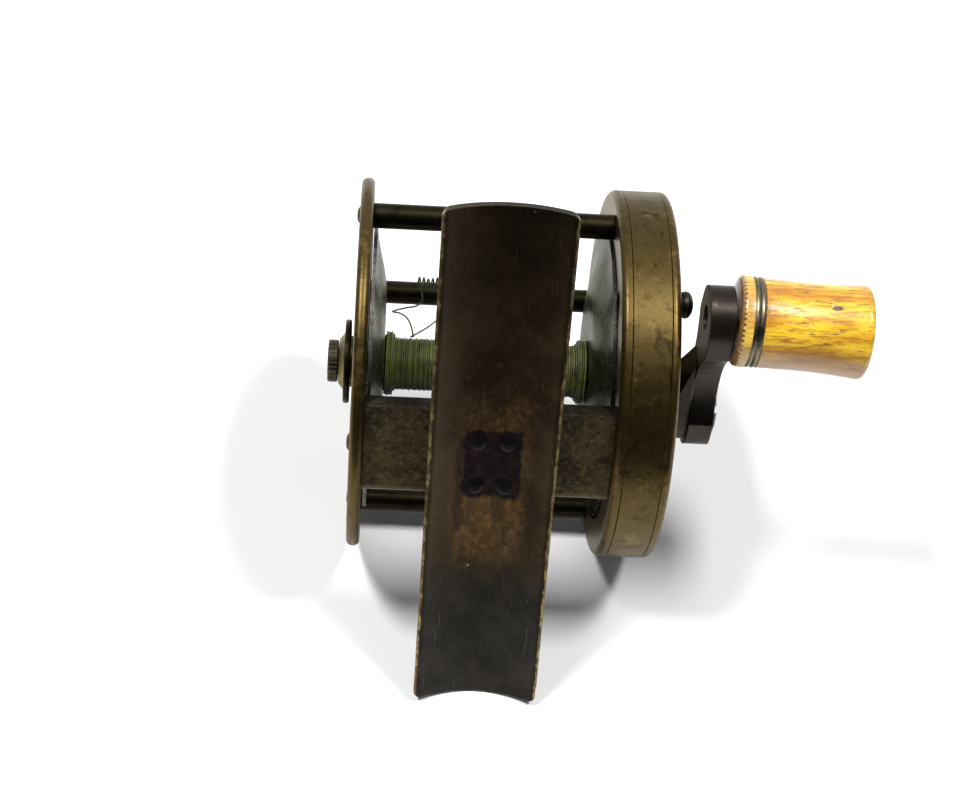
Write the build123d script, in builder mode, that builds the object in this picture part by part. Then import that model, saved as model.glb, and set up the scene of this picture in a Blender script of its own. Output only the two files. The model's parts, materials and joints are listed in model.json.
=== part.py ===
from build123d import *

import os
from math import acos, atan, atan2, cos, degrees, pi, radians, sin, sqrt, tan

# A brass winch fly reel. Its crank stands beside the spool's axis and turns the
# spool two and a half times as fast, through gears in the case behind one plate.
#
# Every round piece turns about a line parallel to X. Along X a piece is placed by
# its station, counted from the middle of the foot towards the crank. Square to X
# it is placed by (u, v): v runs up the length of the foot, u away from the foot,
# and both are counted from the spool's axis. The reel lies at rest on the rims of
# its two plates and on the lower end of the foot, so u and v lean back by LEAN.

# Driving dimensions (mm)
PLATE_R = 30.0          # both end plates are 60 across
FOOT_LENGTH = 85.0
FOOT_WIDTH = 19.5
FOOT_FRONT = -33.2      # u of the foot's long edges
FOOT_HOLLOW_R = 17.0    # radius of the foot's hollow face, to sit on a rod
FOOT_THICK = 1.3
FOOT_EDGE = 0.8         # width of the flat along each long edge
GEAR_OFFSET = -10.5     # u of the crank's axis
CRANK_REACH = 22.7      # crank axis to the handle's pin, on the arm's face
CRANK_ANGLE = 114.0     # rest direction of the crank, from +u towards +v
PIN_LEAN = 2.8          # the handle's pin is bent out of line with the shafts
PIN_LEAN_ANGLE = -118.0     # the direction that it leans in, from +u towards +v
SHAFT_FIT = 0.04        # radial clearance of a running fit

# Stations of the frame's faces
TAIL_RIM = -21.6
TAIL_WEB = -20.8
TAIL_INNER = -19.5
HEAD_FACE = 18.6
HEAD_FLOOR = 19.6       # floor of the recess that the spool's flange turns in
CASE_SEAM = 20.3
HEAD_BACK = 20.8
COVER_SEAM = 26.3
COVER_FACE = 27.74

# Spool
FLANGE_R = 23.5
FLANGE_RIM = 0.6        # thickness at the rim; the inner face then swells towards the arbor
FLANGE_HUB = 2.5        # thickness at the arbor
FLANGE_HUB_R = 10.5     # radius of the flat at full thickness
TAIL_FLANGE = -19.3     # flat outer face
HEAD_FLANGE = 18.65     # flat outer face
RECESS_R = 24.1
ARBOR_R = 3.6
WINDING_R = 4.45
WINDING_END_R = 5.45    # the turns heaped up at both ends
SPINDLE_R = 2.0
WHEEL_SEAT_R = 1.6

# Frame
PILLAR_R = 2.0
PILLAR_CIRCLE = 26.2
PILLARS = {
    "top_pillar": (0, PILLAR_CIRCLE),
    "rear_pillar": (PILLAR_CIRCLE, 0),
    "bottom_pillar": (0, -PILLAR_CIRCLE),
}
BLOCK_FRONT = -27.4
BLOCK_BACK = -24.2
BLOCK_HEIGHT = 15.0
BLOCK_SCREW = ((BLOCK_FRONT + BLOCK_BACK) / 2, 0)
PAD_WIDTH = 15.0        # raised pad on the foot's back, against the block
RIVET_SPACING_X = 4.8
RIVET_SPACING_V = 7.6
RIVET_R = 0.9
RIVET_HEAD_R = 1.5
SCREW_R = 1.0
SCREW_HEAD_R = 1.6
SCREW_HOLE = 4.5        # depth of the tapped holes in the pillars and the block
SCREW_REACH = 4.0
SLOT_WIDTH = 0.5

# Gear train: a 30-tooth wheel on the crank drives a 12-tooth pinion on the spool
MODULE = 0.5
WHEEL_TEETH = 30
PINION_TEETH = 12
PRESSURE_ANGLE = 25.0
ADDENDUM = 0.8
DEDENDUM = 1.1
BACKLASH = 0.07
GEAR_STATION = 21.6
GEAR_THICK = 2.0

# Check: a toothed wheel on the spool, and a lever worked by a button on the cover
CHECK_TEETH = 16
CHECK_TIP_R = 4.5
CHECK_ROOT_R = 3.6
CHECK_STATION = 24.1
CHECK_THICK = 1.0
CHECK_PIVOT = (10.0, 9.0)
CHECK_BUTTON = (-14.5, 20.3)
CHECK_TRAVEL = 7.0      # degrees from off to on
TONGUE_TIP_R = 4.95     # tongue's tip from the spool's axis, when off

# Bearings and caps
BEARING_R = 3.0
BEARING_FLANGE_R = 4.2
DISC_BACK = -22.25
DISC_FRONT = -23.25
DISC_R = 6.85
COLLAR_R = 4.75
COLLAR_END_R = 3.6
NOSE_END = -24.1
CAP_START = -24.25
CAP_END = -25.9
CAP_R = 3.45
CAP_GROOVES = 30
SPINDLE_START = -22.7
CRANK_BEARING_R = 4.0

# Crank and handle
GEAR_PIVOT_R = 1.5
WHEEL_BORE_R = 2.5
CRANK_SHAFT_R = 3.0
CRANK_SQUARE = 4.0
END_PIVOT_R = 1.2
HUB_START = 28.4
HUB_R = 4.9
ARM_INNER = 31.45
ARM_OUTER = 35.35
ARM_END_R = 5.7
EYE_R = 5.2
ARM_WAIST = 5.0
ARM_WAIST_R = 12.6
HANDLE_PIN_R = 2.0
HANDLE_BASE = 35.85
RINGS_START = 37.75
RING_WIDTH = 0.8
RING_R = 6.95
KNOB_START = 39.4
KNOB_WAIST = 46.5
KNOB_SEAT_R = 5.6       # inside the rings
KNOB_R = 6.9
KNOB_END_R = 7.25
KNOB_FACE_R = 6.4
PIN_HEAD = 54.9
HANDLE_END = 56.0

# Case
CASE_WALL = 1.6
LIP_R = PLATE_R - CASE_WALL
CASE_POSTS = [(18.0, 18.0), (18.0, -18.0), (-18.0, -18.0)]
POST_SPIGOT_R = 0.9
SPRING_SCREW = (17.0, -8.0)
COVER_SCREW_OUTLINE = [
    (COVER_SEAM - 3.5, 0),
    (COVER_SEAM - 3.5, 0.8),
    (COVER_FACE - 0.9, 0.8),
    (COVER_FACE, 1.7),
    (COVER_FACE, 0),
]

# The loose end of the line: rises from the winding, curls, and falls back to it.
# Each point is (station, u, v).
LINE_DIAMETER = 0.3
CURL_R = 0.75
CURL_START = (-12.4, 5.2, 12.5)
CURL_END = (-8.2, 5.2, 12.5)
LINE_RISE = [
    (-12.2, 1.05, 4.4), (-12.45, 1.4, 5.9), (-13.3, 2.0, 7.5), (-14.6, 2.6, 8.0), (-15.7, 3.5, 7.6),
    (-15.8, 4.8, 7.1), (-14.8, 5.7, 7.0), (-13.3, 6.0, 7.3), (-11.9, 6.1, 7.5), (-10.9, 6.0, 8.5),
    (-11.0, 5.8, 9.9), (-11.6, 5.5, 11.1), (-11.9, 5.2, 12.4),
]
LINE_FALL = [
    (-8.3, 5.2, 12.5), (-7.0, 5.2, 12.3), (-5.9, 5.0, 11.4), (-5.6, 4.6, 10.1), (-6.2, 4.0, 8.8),
    (-7.2, 3.3, 7.8), (-8.5, 2.6, 6.9), (-10.0, 1.8, 5.9), (-11.4, 1.4, 5.1), (-12.7, 1.22, 4.33),
]

# Where the leaning reel stands
SADDLE_U = FOOT_FRONT - sqrt(FOOT_HOLLOW_R**2 - (FOOT_WIDTH / 2 - FOOT_EDGE) ** 2)
FOOT_BACK = SADDLE_U + FOOT_HOLLOW_R + FOOT_THICK
LEAN = acos(PLATE_R / sqrt(FOOT_BACK**2 + (FOOT_LENGTH / 2) ** 2)) - atan(-FOOT_BACK / (FOOT_LENGTH / 2))
AWAY = Vector(0, cos(LEAN), -sin(LEAN))
PIN_COS = cos(radians(PIN_LEAN))
PIN_SIN = sin(radians(PIN_LEAN))
KNOB_REACH = ARM_OUTER + (HANDLE_END - ARM_OUTER) * PIN_COS + KNOB_FACE_R * PIN_SIN
SHIFT = -(CAP_END + KNOB_REACH) / 2
FRONT_REACH = -FOOT_FRONT * cos(LEAN) + FOOT_LENGTH / 2 * sin(LEAN)
SPOOL_AXIS = Vector(SHIFT, (FRONT_REACH - PLATE_R) / 2, PLATE_R)

WINDING_START = TAIL_FLANGE + FLANGE_HUB
WINDING_END = HEAD_FLANGE - FLANGE_HUB

SPOOL = (0.0, 0.0)
CRANK = (GEAR_OFFSET, 0.0)
ARM_U = cos(radians(CRANK_ANGLE))
ARM_V = sin(radians(CRANK_ANGLE))
HANDLE = (GEAR_OFFSET + CRANK_REACH * ARM_U, CRANK_REACH * ARM_V)


def section(station):
    """The plane square to the spool's axis at a station; its x is u and its y is v."""
    return Plane(origin=SPOOL_AXIS + Vector(station, 0, 0), x_dir=AWAY, z_dir=(1, 0, 0))


def centre(at):
    """The point of the station-0 section at (u, v)."""
    return section(0).from_local_coords(Vector(at[0], at[1], 0))


def direction(vector):
    """The angle of a (u, v) vector, in degrees from +u towards +v."""
    return degrees(atan2(vector.Y, vector.X))


def line_at(at):
    """A plane whose x is the axis through (u, v), counted in stations, and whose y is v."""
    return Plane(origin=centre(at), x_dir=(1, 0, 0), z_dir=-AWAY)


def handle_line():
    """The same for the handle's bent pin, which leaves the arm's outer face at HANDLE."""
    lean = radians(PIN_LEAN_ANGLE)
    along = Vector(PIN_COS, 0, 0) + (AWAY * cos(lean) + section(0).y_dir * sin(lean)) * PIN_SIN
    foot_of_pin = centre(HANDLE) + Vector(ARM_OUTER, 0, 0)
    return Plane(origin=foot_of_pin - along * ARM_OUTER, x_dir=along, z_dir=along.cross(section(0).y_dir))


def turn(outline, at=SPOOL, mode=Mode.ADD):
    """Revolve a closed outline of (station, radius) points about the axis at (u, v), or a plane's x."""
    line = at if isinstance(at, Plane) else line_at(at)
    with BuildSketch(line) as profile:
        with BuildLine():
            Polyline(*outline, close=True)
        make_face()
    revolve(profile.sketch, axis=Axis(line.origin, line.x_dir), mode=mode)


def rod(start, end, radius, places=(SPOOL,), mode=Mode.ADD):
    """A round bar, or with Mode.SUBTRACT a round hole, between two stations."""
    with BuildSketch(section(start)) as circle:
        with Locations(*places):
            Circle(radius)
    extrude(circle.sketch, amount=end - start, mode=mode)


def saw_slot(station, depth, width, length, places, angle=35):
    """A screwdriver slot sawn across round heads, from a station along X."""
    with BuildSketch(section(station)) as slot:
        with Locations(*places):
            Rectangle(length, width, rotation=angle)
    extrude(slot.sketch, amount=depth, mode=Mode.SUBTRACT)


def finish(piece, name):
    """Label a finished piece and write it."""
    piece.part.label = name
    export_step(piece.part, f"parts/{name}.step")


def tail_plate():
    with BuildPart() as plate:
        turn([(TAIL_INNER, BEARING_R), (TAIL_INNER, PLATE_R), (TAIL_RIM, PLATE_R), (TAIL_RIM, PLATE_R - 1.9),
              (TAIL_WEB, PLATE_R - 1.9), (TAIL_WEB, BEARING_R)])
        rim = plate.edges().filter_by(GeomType.CIRCLE).group_by(SortBy.RADIUS)[-1]
        fillet(rim, 0.95)
        lip = plate.edges().filter_by(GeomType.CIRCLE).sort_by(Axis.X)[:2]
        fillet(lip.sort_by(SortBy.RADIUS)[0], 0.4)
        rod(TAIL_WEB, TAIL_INNER, SCREW_R, [*PILLARS.values(), BLOCK_SCREW], Mode.SUBTRACT)
    finish(plate, "tail_plate")


def head_plate():
    with BuildPart() as plate:
        turn([(HEAD_FLOOR, BEARING_R), (HEAD_FLOOR, RECESS_R), (HEAD_FACE, RECESS_R), (HEAD_FACE, PLATE_R),
              (CASE_SEAM, PLATE_R), (CASE_SEAM, LIP_R), (HEAD_BACK, LIP_R), (HEAD_BACK, BEARING_R)])
        rim = plate.edges().filter_by(GeomType.CIRCLE).group_by(SortBy.RADIUS)[-1]
        fillet(rim.sort_by(Axis.X)[0], 1.1)
        chamfer(rim.sort_by(Axis.X)[-1], 0.12)
        rod(HEAD_FACE, HEAD_BACK, SCREW_R, [*PILLARS.values(), BLOCK_SCREW], Mode.SUBTRACT)
        rod(HEAD_FLOOR, HEAD_BACK, 2.4, [CRANK], Mode.SUBTRACT)
        rod(HEAD_BACK - 1.0, HEAD_BACK, POST_SPIGOT_R, [*CASE_POSTS, SPRING_SCREW], Mode.SUBTRACT)
        rod(HEAD_BACK - 0.8, HEAD_BACK, 1.0, [CHECK_PIVOT], Mode.SUBTRACT)
        check_slot(HEAD_FACE, HEAD_BACK, 3.2)
    finish(plate, "head_plate")


def check_slot(start, end, width):
    """The curved slot that the check button's post travels in."""
    reach = Vector(CHECK_BUTTON[0] - CHECK_PIVOT[0], CHECK_BUTTON[1] - CHECK_PIVOT[1])
    with BuildSketch(section(start)) as slot:
        with BuildLine() as path:
            CenterArc(CHECK_PIVOT, reach.length, direction(reach), CHECK_TRAVEL)
        SlotArc(path.edges()[0], width)
    extrude(slot.sketch, amount=end - start, mode=Mode.SUBTRACT)


def gear_case():
    with BuildPart() as wall:
        turn([(CASE_SEAM, LIP_R), (CASE_SEAM, PLATE_R), (COVER_SEAM, PLATE_R), (COVER_SEAM, LIP_R)])
        chamfer(wall.edges().filter_by(GeomType.CIRCLE).group_by(SortBy.RADIUS)[-1], 0.12)
    finish(wall, "gear_case_wall")

    with BuildPart() as cover:
        turn([(COVER_SEAM - 0.5, LIP_R - 1.0), (COVER_SEAM - 0.5, LIP_R), (COVER_SEAM, LIP_R),
              (COVER_SEAM, PLATE_R), (COVER_FACE, PLATE_R), (COVER_FACE, 0), (COVER_SEAM, 0),
              (COVER_SEAM, LIP_R - 1.0)])
        rim = cover.edges().filter_by(GeomType.CIRCLE).group_by(SortBy.RADIUS)[-1]
        fillet(rim.sort_by(Axis.X)[-1], 1.1)
        chamfer(rim.sort_by(Axis.X)[0], 0.12)
        rod(COVER_SEAM, COVER_FACE, CRANK_BEARING_R, [CRANK], Mode.SUBTRACT)
        rod(COVER_SEAM, COVER_SEAM + 0.7, BEARING_R, [SPOOL], Mode.SUBTRACT)
        check_slot(COVER_SEAM, COVER_FACE, 2.9)
        for post in CASE_POSTS:
            turn(COVER_SCREW_OUTLINE, post, Mode.SUBTRACT)
    finish(cover, "gear_case_cover")

    with BuildPart() as posts:
        rod(HEAD_BACK, COVER_SEAM, 1.8, CASE_POSTS)
        rod(HEAD_BACK - 1.0, HEAD_BACK, POST_SPIGOT_R, CASE_POSTS)
        rod(COVER_SEAM - 4.0, COVER_SEAM, 0.8, CASE_POSTS, Mode.SUBTRACT)
    finish(posts, "case_posts")

    with BuildPart() as screws:
        for post in CASE_POSTS:
            turn(COVER_SCREW_OUTLINE, post)
        saw_slot(COVER_FACE - 0.35, 1.0, SLOT_WIDTH, 5.0, CASE_POSTS)
    finish(screws, "cover_screws")


def pillars():
    for name, place in PILLARS.items():
        with BuildPart() as pillar:
            rod(TAIL_INNER, HEAD_FACE, PILLAR_R, [place])
            chamfer(pillar.edges().filter_by(GeomType.CIRCLE), 0.15)
            rod(TAIL_INNER, TAIL_INNER + SCREW_HOLE, SCREW_R, [place], Mode.SUBTRACT)
            rod(HEAD_FACE - SCREW_HOLE, HEAD_FACE, SCREW_R, [place], Mode.SUBTRACT)
        finish(pillar, name)


def plate_screws():
    places = [*PILLARS.values(), BLOCK_SCREW]
    with BuildPart() as tail:
        for place in places:
            turn([(TAIL_WEB, 0), (TAIL_WEB - 1.3, 0), (TAIL_WEB - 1.2, SCREW_HEAD_R * 0.55),
                  (TAIL_WEB - 0.8, SCREW_HEAD_R * 0.92), (TAIL_WEB - 0.4, SCREW_HEAD_R),
                  (TAIL_WEB, SCREW_HEAD_R)], place)
        rod(TAIL_WEB, TAIL_INNER + SCREW_REACH, SCREW_R, places)
        saw_slot(TAIL_WEB - 1.4, 0.7, SLOT_WIDTH, 4.0, places)
    finish(tail, "tail_plate_screws")

    with BuildPart() as head:
        rod(HEAD_BACK, HEAD_BACK + 1.2, SCREW_HEAD_R, places)
        chamfer(head.faces().sort_by(Axis.X)[-4:].edges(), 0.25)
        rod(HEAD_FACE - SCREW_REACH, HEAD_BACK, SCREW_R, places)
        saw_slot(HEAD_BACK + 0.7, 1.0, SLOT_WIDTH, 4.0, places)
    finish(head, "head_plate_screws")


def foot_block():
    with BuildPart() as block:
        with BuildSketch(section(TAIL_INNER)):
            with Locations(BLOCK_SCREW):
                Rectangle(BLOCK_BACK - BLOCK_FRONT, BLOCK_HEIGHT)
        extrude(amount=HEAD_FACE - TAIL_INNER)
        chamfer(block.edges().filter_by(Axis.X), 0.3)
        rod(TAIL_INNER, TAIL_INNER + SCREW_HOLE, SCREW_R, [BLOCK_SCREW], Mode.SUBTRACT)
        rod(HEAD_FACE - SCREW_HOLE, HEAD_FACE, SCREW_R, [BLOCK_SCREW], Mode.SUBTRACT)
        rivets(Mode.SUBTRACT)
    finish(block, "foot_block")


def along_foot(station, v):
    """The plane square to the foot's length at v; its x is X and its y is u."""
    origin = section(station).from_local_coords(Vector(0, v, 0))
    return Plane(origin=origin, x_dir=(1, 0, 0), z_dir=section(0).y_dir)


def rivets(mode=Mode.ADD):
    """The four countersunk rivets, or their holes, through the foot and the block."""
    face = SADDLE_U + sqrt(FOOT_HOLLOW_R**2 - (RIVET_SPACING_X / 2) ** 2)
    for x in (-RIVET_SPACING_X / 2, RIVET_SPACING_X / 2):
        for v in (-RIVET_SPACING_V / 2, RIVET_SPACING_V / 2):
            plane = along_foot(x, v)
            with BuildSketch(plane) as profile:
                with BuildLine():
                    Polyline((0, BLOCK_BACK), (RIVET_R, BLOCK_BACK), (RIVET_R, face + 0.6),
                             (RIVET_HEAD_R, face), (RIVET_HEAD_R * 0.6, face - 0.25), (0, face - 0.33),
                             close=True)
                make_face()
            revolve(profile.sketch, axis=Axis(plane.origin, AWAY), mode=mode)


def foot():
    half = FOOT_WIDTH / 2
    hollow_half = half - FOOT_EDGE
    side_back = SADDLE_U + sqrt((FOOT_HOLLOW_R + FOOT_THICK) ** 2 - half**2)
    with BuildPart() as plate:
        with BuildSketch(along_foot(0, -FOOT_LENGTH / 2)):
            with BuildLine():
                Polyline((hollow_half, FOOT_FRONT), (half, FOOT_FRONT), (half, side_back))
                ThreePointArc((half, side_back), (0, FOOT_BACK), (-half, side_back))
                Polyline((-half, side_back), (-half, FOOT_FRONT), (-hollow_half, FOOT_FRONT))
                ThreePointArc((-hollow_half, FOOT_FRONT), (0, FOOT_BACK - FOOT_THICK),
                              (hollow_half, FOOT_FRONT))
            make_face()
        extrude(amount=FOOT_LENGTH)
        corners = plate.edges().filter_by(Axis(centre(SPOOL), AWAY))
        fillet(corners, 1.2)
        with BuildSketch(Plane(origin=centre((BLOCK_FRONT, 0)), x_dir=(1, 0, 0), z_dir=-AWAY)):
            Rectangle(PAD_WIDTH, BLOCK_HEIGHT - 1)
        extrude(until=Until.NEXT)
        rivets(Mode.SUBTRACT)
    finish(plate, "foot")


def foot_rivets():
    with BuildPart() as group:
        rivets()
    finish(group, "foot_rivets")


def bearings():
    with BuildPart() as tail:
        turn([(TAIL_INNER, 0), (TAIL_INNER, BEARING_R), (TAIL_WEB, BEARING_R), (TAIL_WEB, BEARING_FLANGE_R),
              (DISC_BACK, BEARING_FLANGE_R), (DISC_BACK, BEARING_R), (NOSE_END, BEARING_R), (NOSE_END, 0)])
        rod(NOSE_END, TAIL_INNER, SPINDLE_R + SHAFT_FIT, mode=Mode.SUBTRACT)
    finish(tail, "tail_bearing")

    with BuildPart() as disc:
        turn([(DISC_BACK, BEARING_R), (DISC_BACK, DISC_R), (DISC_FRONT, DISC_R), (DISC_FRONT, BEARING_R)])
        chamfer(disc.edges().filter_by(GeomType.CIRCLE).group_by(SortBy.RADIUS)[-1], 0.2)
    finish(disc, "bearing_disc")

    collar_end = NOSE_END - 0.05
    with BuildPart() as collar:
        turn([(DISC_FRONT, BEARING_R), (DISC_FRONT, COLLAR_R), (collar_end, COLLAR_END_R),
              (collar_end, BEARING_R)])
    finish(collar, "bearing_collar")

    with BuildPart() as cap:
        rod(CAP_END, CAP_START, CAP_R)
        chamfer(cap.edges().filter_by(GeomType.CIRCLE), 0.2)
        with BuildSketch(section(CAP_END)):
            with PolarLocations(CAP_R + 0.08, CAP_GROOVES):
                Circle(0.17)
        extrude(amount=3, mode=Mode.SUBTRACT)
        rod(CAP_START, SPINDLE_START - 0.2, SPINDLE_R)
    finish(cap, "bearing_cap")

    end = HEAD_BACK + 0.5
    with BuildPart() as head:
        turn([(HEAD_FLOOR, 0), (HEAD_FLOOR, BEARING_R), (HEAD_BACK, BEARING_R), (HEAD_BACK, 3.9), (end, 3.9),
              (end, 0)])
        rod(HEAD_FLOOR, end, SPINDLE_R + SHAFT_FIT, mode=Mode.SUBTRACT)
    finish(head, "head_bearing")

    with BuildPart() as pivot:
        rod(HEAD_FLOOR, end, 2.4, [CRANK])
        rod(HEAD_FLOOR, end, GEAR_PIVOT_R + SHAFT_FIT, [CRANK], Mode.SUBTRACT)
    finish(pivot, "gear_pivot_bearing")

    with BuildPart() as far:
        rod(COVER_SEAM - 0.8, COVER_SEAM + 0.7, BEARING_R)
        rod(COVER_SEAM - 0.8, COVER_SEAM + 0.6, END_PIVOT_R + SHAFT_FIT, mode=Mode.SUBTRACT)
    finish(far, "spindle_end_bearing")

    start = COVER_SEAM - 0.4
    with BuildPart() as crank:
        turn([(start, 0), (start, CRANK_BEARING_R), (COVER_FACE, CRANK_BEARING_R), (COVER_FACE, 6.2),
              (COVER_FACE + 0.3, 6.2), (COVER_FACE + 0.55, 5.9), (COVER_FACE + 0.55, 0)], CRANK)
        rod(start, COVER_FACE + 0.55, CRANK_SHAFT_R + SHAFT_FIT, [CRANK], Mode.SUBTRACT)
    finish(crank, "crank_bearing")


def half_angle(radius, teeth):
    """Half of the angle that an involute tooth spans at a radius, in radians."""
    pitch_r = MODULE * teeth / 2
    base_r = pitch_r * cos(radians(PRESSURE_ANGLE))
    pressure = acos(min(1.0, base_r / radius))
    at_pitch = radians(PRESSURE_ANGLE)
    thickness = pi * MODULE / 2 - BACKLASH
    return thickness / (2 * pitch_r) + (tan(at_pitch) - at_pitch) - (tan(pressure) - pressure)


def gear(station, teeth, bore_r, at, phase):
    """A spur gear with involute flanks, each drawn as one arc through three points of the curve."""
    pitch_r = MODULE * teeth / 2
    root_r = pitch_r - DEDENDUM * MODULE
    tip_r = pitch_r + ADDENDUM * MODULE
    flank_r = max(root_r - 0.05, pitch_r * cos(radians(PRESSURE_ANGLE)))

    def flank(radius, side):
        angle = degrees(half_angle(radius, teeth)) * side
        return Vector(radius, 0).rotate(Axis.Z, angle)

    lower = Vector(root_r - 0.1, 0).rotate(Axis.Z, -degrees(half_angle(flank_r, teeth)))
    upper = Vector(root_r - 0.1, 0).rotate(Axis.Z, degrees(half_angle(flank_r, teeth)))
    middle_r = (flank_r + tip_r) / 2
    with BuildSketch() as tooth:
        with BuildLine():
            Line(lower, flank(flank_r, -1))
            ThreePointArc(flank(flank_r, -1), flank(middle_r, -1), flank(tip_r, -1))
            Line(flank(tip_r, -1), flank(tip_r, 1))
            ThreePointArc(flank(tip_r, 1), flank(middle_r, 1), flank(flank_r, 1))
            Line(flank(flank_r, 1), upper)
            Line(upper, lower)
        make_face()
    with BuildSketch(section(station)) as outline:
        with Locations(at):
            Circle(root_r)
            with PolarLocations(0, teeth, start_angle=phase):
                add(tooth.sketch)
            Circle(bore_r, mode=Mode.SUBTRACT)
    extrude(outline.sketch, amount=GEAR_THICK)


def flange(name, back, inward):
    """A spool flange, flat behind and swelling on its inner face, which looks along X by inward."""
    rim = back + inward * FLANGE_RIM
    hub = back + inward * FLANGE_HUB
    with BuildPart() as disc:
        with BuildSketch(line_at(SPOOL)) as profile:
            with BuildLine():
                Polyline((hub, FLANGE_HUB_R), (hub, SPINDLE_R), (back, SPINDLE_R), (back, FLANGE_R),
                         (rim, FLANGE_R), (rim, FLANGE_R - 0.5))
                Bezier((rim, FLANGE_R - 0.5), (rim, 18.5), (hub, 16.0), (hub, FLANGE_HUB_R))
            make_face()
        revolve(profile.sketch, axis=Axis(centre(SPOOL), (1, 0, 0)))
    finish(disc, name)


def spool():
    wheel_end = COVER_SEAM - 0.95
    pivot_end = COVER_SEAM + 0.4
    with BuildPart() as spindle:
        turn([(SPINDLE_START, 0), (SPINDLE_START, SPINDLE_R), (HEAD_BACK + 0.6, SPINDLE_R),
              (HEAD_BACK + 0.6, WHEEL_SEAT_R), (wheel_end, WHEEL_SEAT_R), (wheel_end, END_PIVOT_R),
              (pivot_end, END_PIVOT_R), (pivot_end, 0)])
    finish(spindle, "spool_spindle")

    with BuildPart() as arbor:
        rod(WINDING_START, WINDING_END, ARBOR_R)
        rod(WINDING_START, WINDING_END, SPINDLE_R, mode=Mode.SUBTRACT)
    finish(arbor, "spool_arbor")

    flange("tail_flange", TAIL_FLANGE, 1)
    flange("head_flange", HEAD_FLANGE, -1)

    with BuildPart() as pinion:
        gear(GEAR_STATION, PINION_TEETH, WHEEL_SEAT_R, SPOOL, 180 / PINION_TEETH)
    finish(pinion, "pinion")

    with BuildPart() as wheel:
        with BuildSketch(section(CHECK_STATION)):
            with BuildLine():
                points = []
                for tooth in range(CHECK_TEETH):
                    angle = check_phase() + tooth * 360 / CHECK_TEETH
                    points.append(Vector(CHECK_ROOT_R, 0).rotate(Axis.Z, angle))
                    points.append(Vector(CHECK_TIP_R, 0).rotate(Axis.Z, angle + 180 / CHECK_TEETH))
                Polyline(*points, close=True)
            make_face()
            Circle(WHEEL_SEAT_R, mode=Mode.SUBTRACT)
        extrude(amount=CHECK_THICK)
    finish(wheel, "check_wheel")


def wound_line():
    heap = [(0, WINDING_END_R - 0.15), (0.2, WINDING_END_R), (1.2, WINDING_END_R), (1.95, 4.9),
            (2.1, WINDING_R)]
    outline = [(WINDING_START, ARBOR_R)]
    outline += [(WINDING_START + reach, radius) for reach, radius in heap]
    outline += [(WINDING_END - reach, radius) for reach, radius in reversed(heap)]
    outline += [(WINDING_END, ARBOR_R)]
    with BuildPart() as line:
        turn(outline)
    finish(line, "wound_line")


def line_tube(route):
    """A tube along a route of (station, u, v) points, with an arc as large as its runs allow at each."""
    points = [section(station).from_local_coords(Vector(u, v, 0)) for station, u, v in route]
    radii = []
    for before, here, after in zip(points, points[1:], points[2:]):
        turned = radians((here - before).get_angle(after - here))
        shorter = min((here - before).length, (after - here).length)
        radii.append(0.45 * shorter / tan(turned / 2))
    print("line bend radii", [round(radius, 2) for radius in radii])
    with BuildPart() as tube:
        with BuildLine() as path:
            FilletPolyline(*points, radius=radii)
        with BuildSketch(path.wire() ^ 0):
            Circle(LINE_DIAMETER / 2)
        sweep(path=path.wire())
    print("line volume", tube.part.volume, pi * (LINE_DIAMETER / 2) ** 2 * path.wire().length)
    return tube


def loose_line():
    finish(line_tube(LINE_RISE), "loose_line_rise")
    finish(line_tube(LINE_FALL), "loose_line_fall")
    with BuildPart() as curl:
        rod(CURL_START[0], CURL_END[0], CURL_R + LINE_DIAMETER / 2, [CURL_START[1:]])
    finish(curl, "loose_line_curl")


def crank():
    gear_end = GEAR_STATION + GEAR_THICK
    square_start = HUB_START + 0.6
    with BuildPart() as shaft:
        turn([(HEAD_FLOOR + 0.15, 0), (HEAD_FLOOR + 0.15, GEAR_PIVOT_R), (GEAR_STATION - 0.2, GEAR_PIVOT_R),
              (GEAR_STATION - 0.2, WHEEL_BORE_R), (gear_end, WHEEL_BORE_R), (gear_end, CRANK_SHAFT_R),
              (square_start, CRANK_SHAFT_R), (square_start, 0)], CRANK)
        crank_square(square_start, ARM_OUTER, Mode.ADD)
        rod(ARM_OUTER - 5.0, ARM_OUTER, 1.2, [CRANK], Mode.SUBTRACT)
    finish(shaft, "crank_shaft")

    with BuildPart() as wheel:
        gear(GEAR_STATION, WHEEL_TEETH, WHEEL_BORE_R, CRANK, 0)
    finish(wheel, "drive_gear")

    crank_arm(square_start)

    with BuildPart() as screw:
        turn([(ARM_OUTER - 4.5, 0), (ARM_OUTER - 4.5, 1.2), (ARM_OUTER, 1.2), (ARM_OUTER, 4.05),
              (ARM_OUTER + 0.45, 4.05), (ARM_OUTER + 0.85, 3.2), (ARM_OUTER + 1.1, 2.0),
              (ARM_OUTER + 1.2, 0)], CRANK)
        saw_slot(ARM_OUTER + 0.3, 2.0, 1.1, 12.0, [CRANK], angle=-28)
    finish(screw, "crank_screw")

    with BuildPart() as pin:
        turn([(ARM_INNER + 0.9, 0), (ARM_INNER + 0.9, HANDLE_PIN_R), (PIN_HEAD, HANDLE_PIN_R),
              (PIN_HEAD, 3.2), (PIN_HEAD + 0.5, 3.2), (PIN_HEAD + 0.8, 2.2), (PIN_HEAD + 0.9, 0)],
             handle_line())
    finish(pin, "handle_pin")


def crank_square(start, end, mode):
    """The square end of the crank's shaft, or its hole."""
    with BuildSketch(section(start)) as square:
        with Locations(CRANK):
            Rectangle(CRANK_SQUARE, CRANK_SQUARE, rotation=CRANK_ANGLE)
    extrude(square.sketch, amount=end - start, mode=mode)


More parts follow.
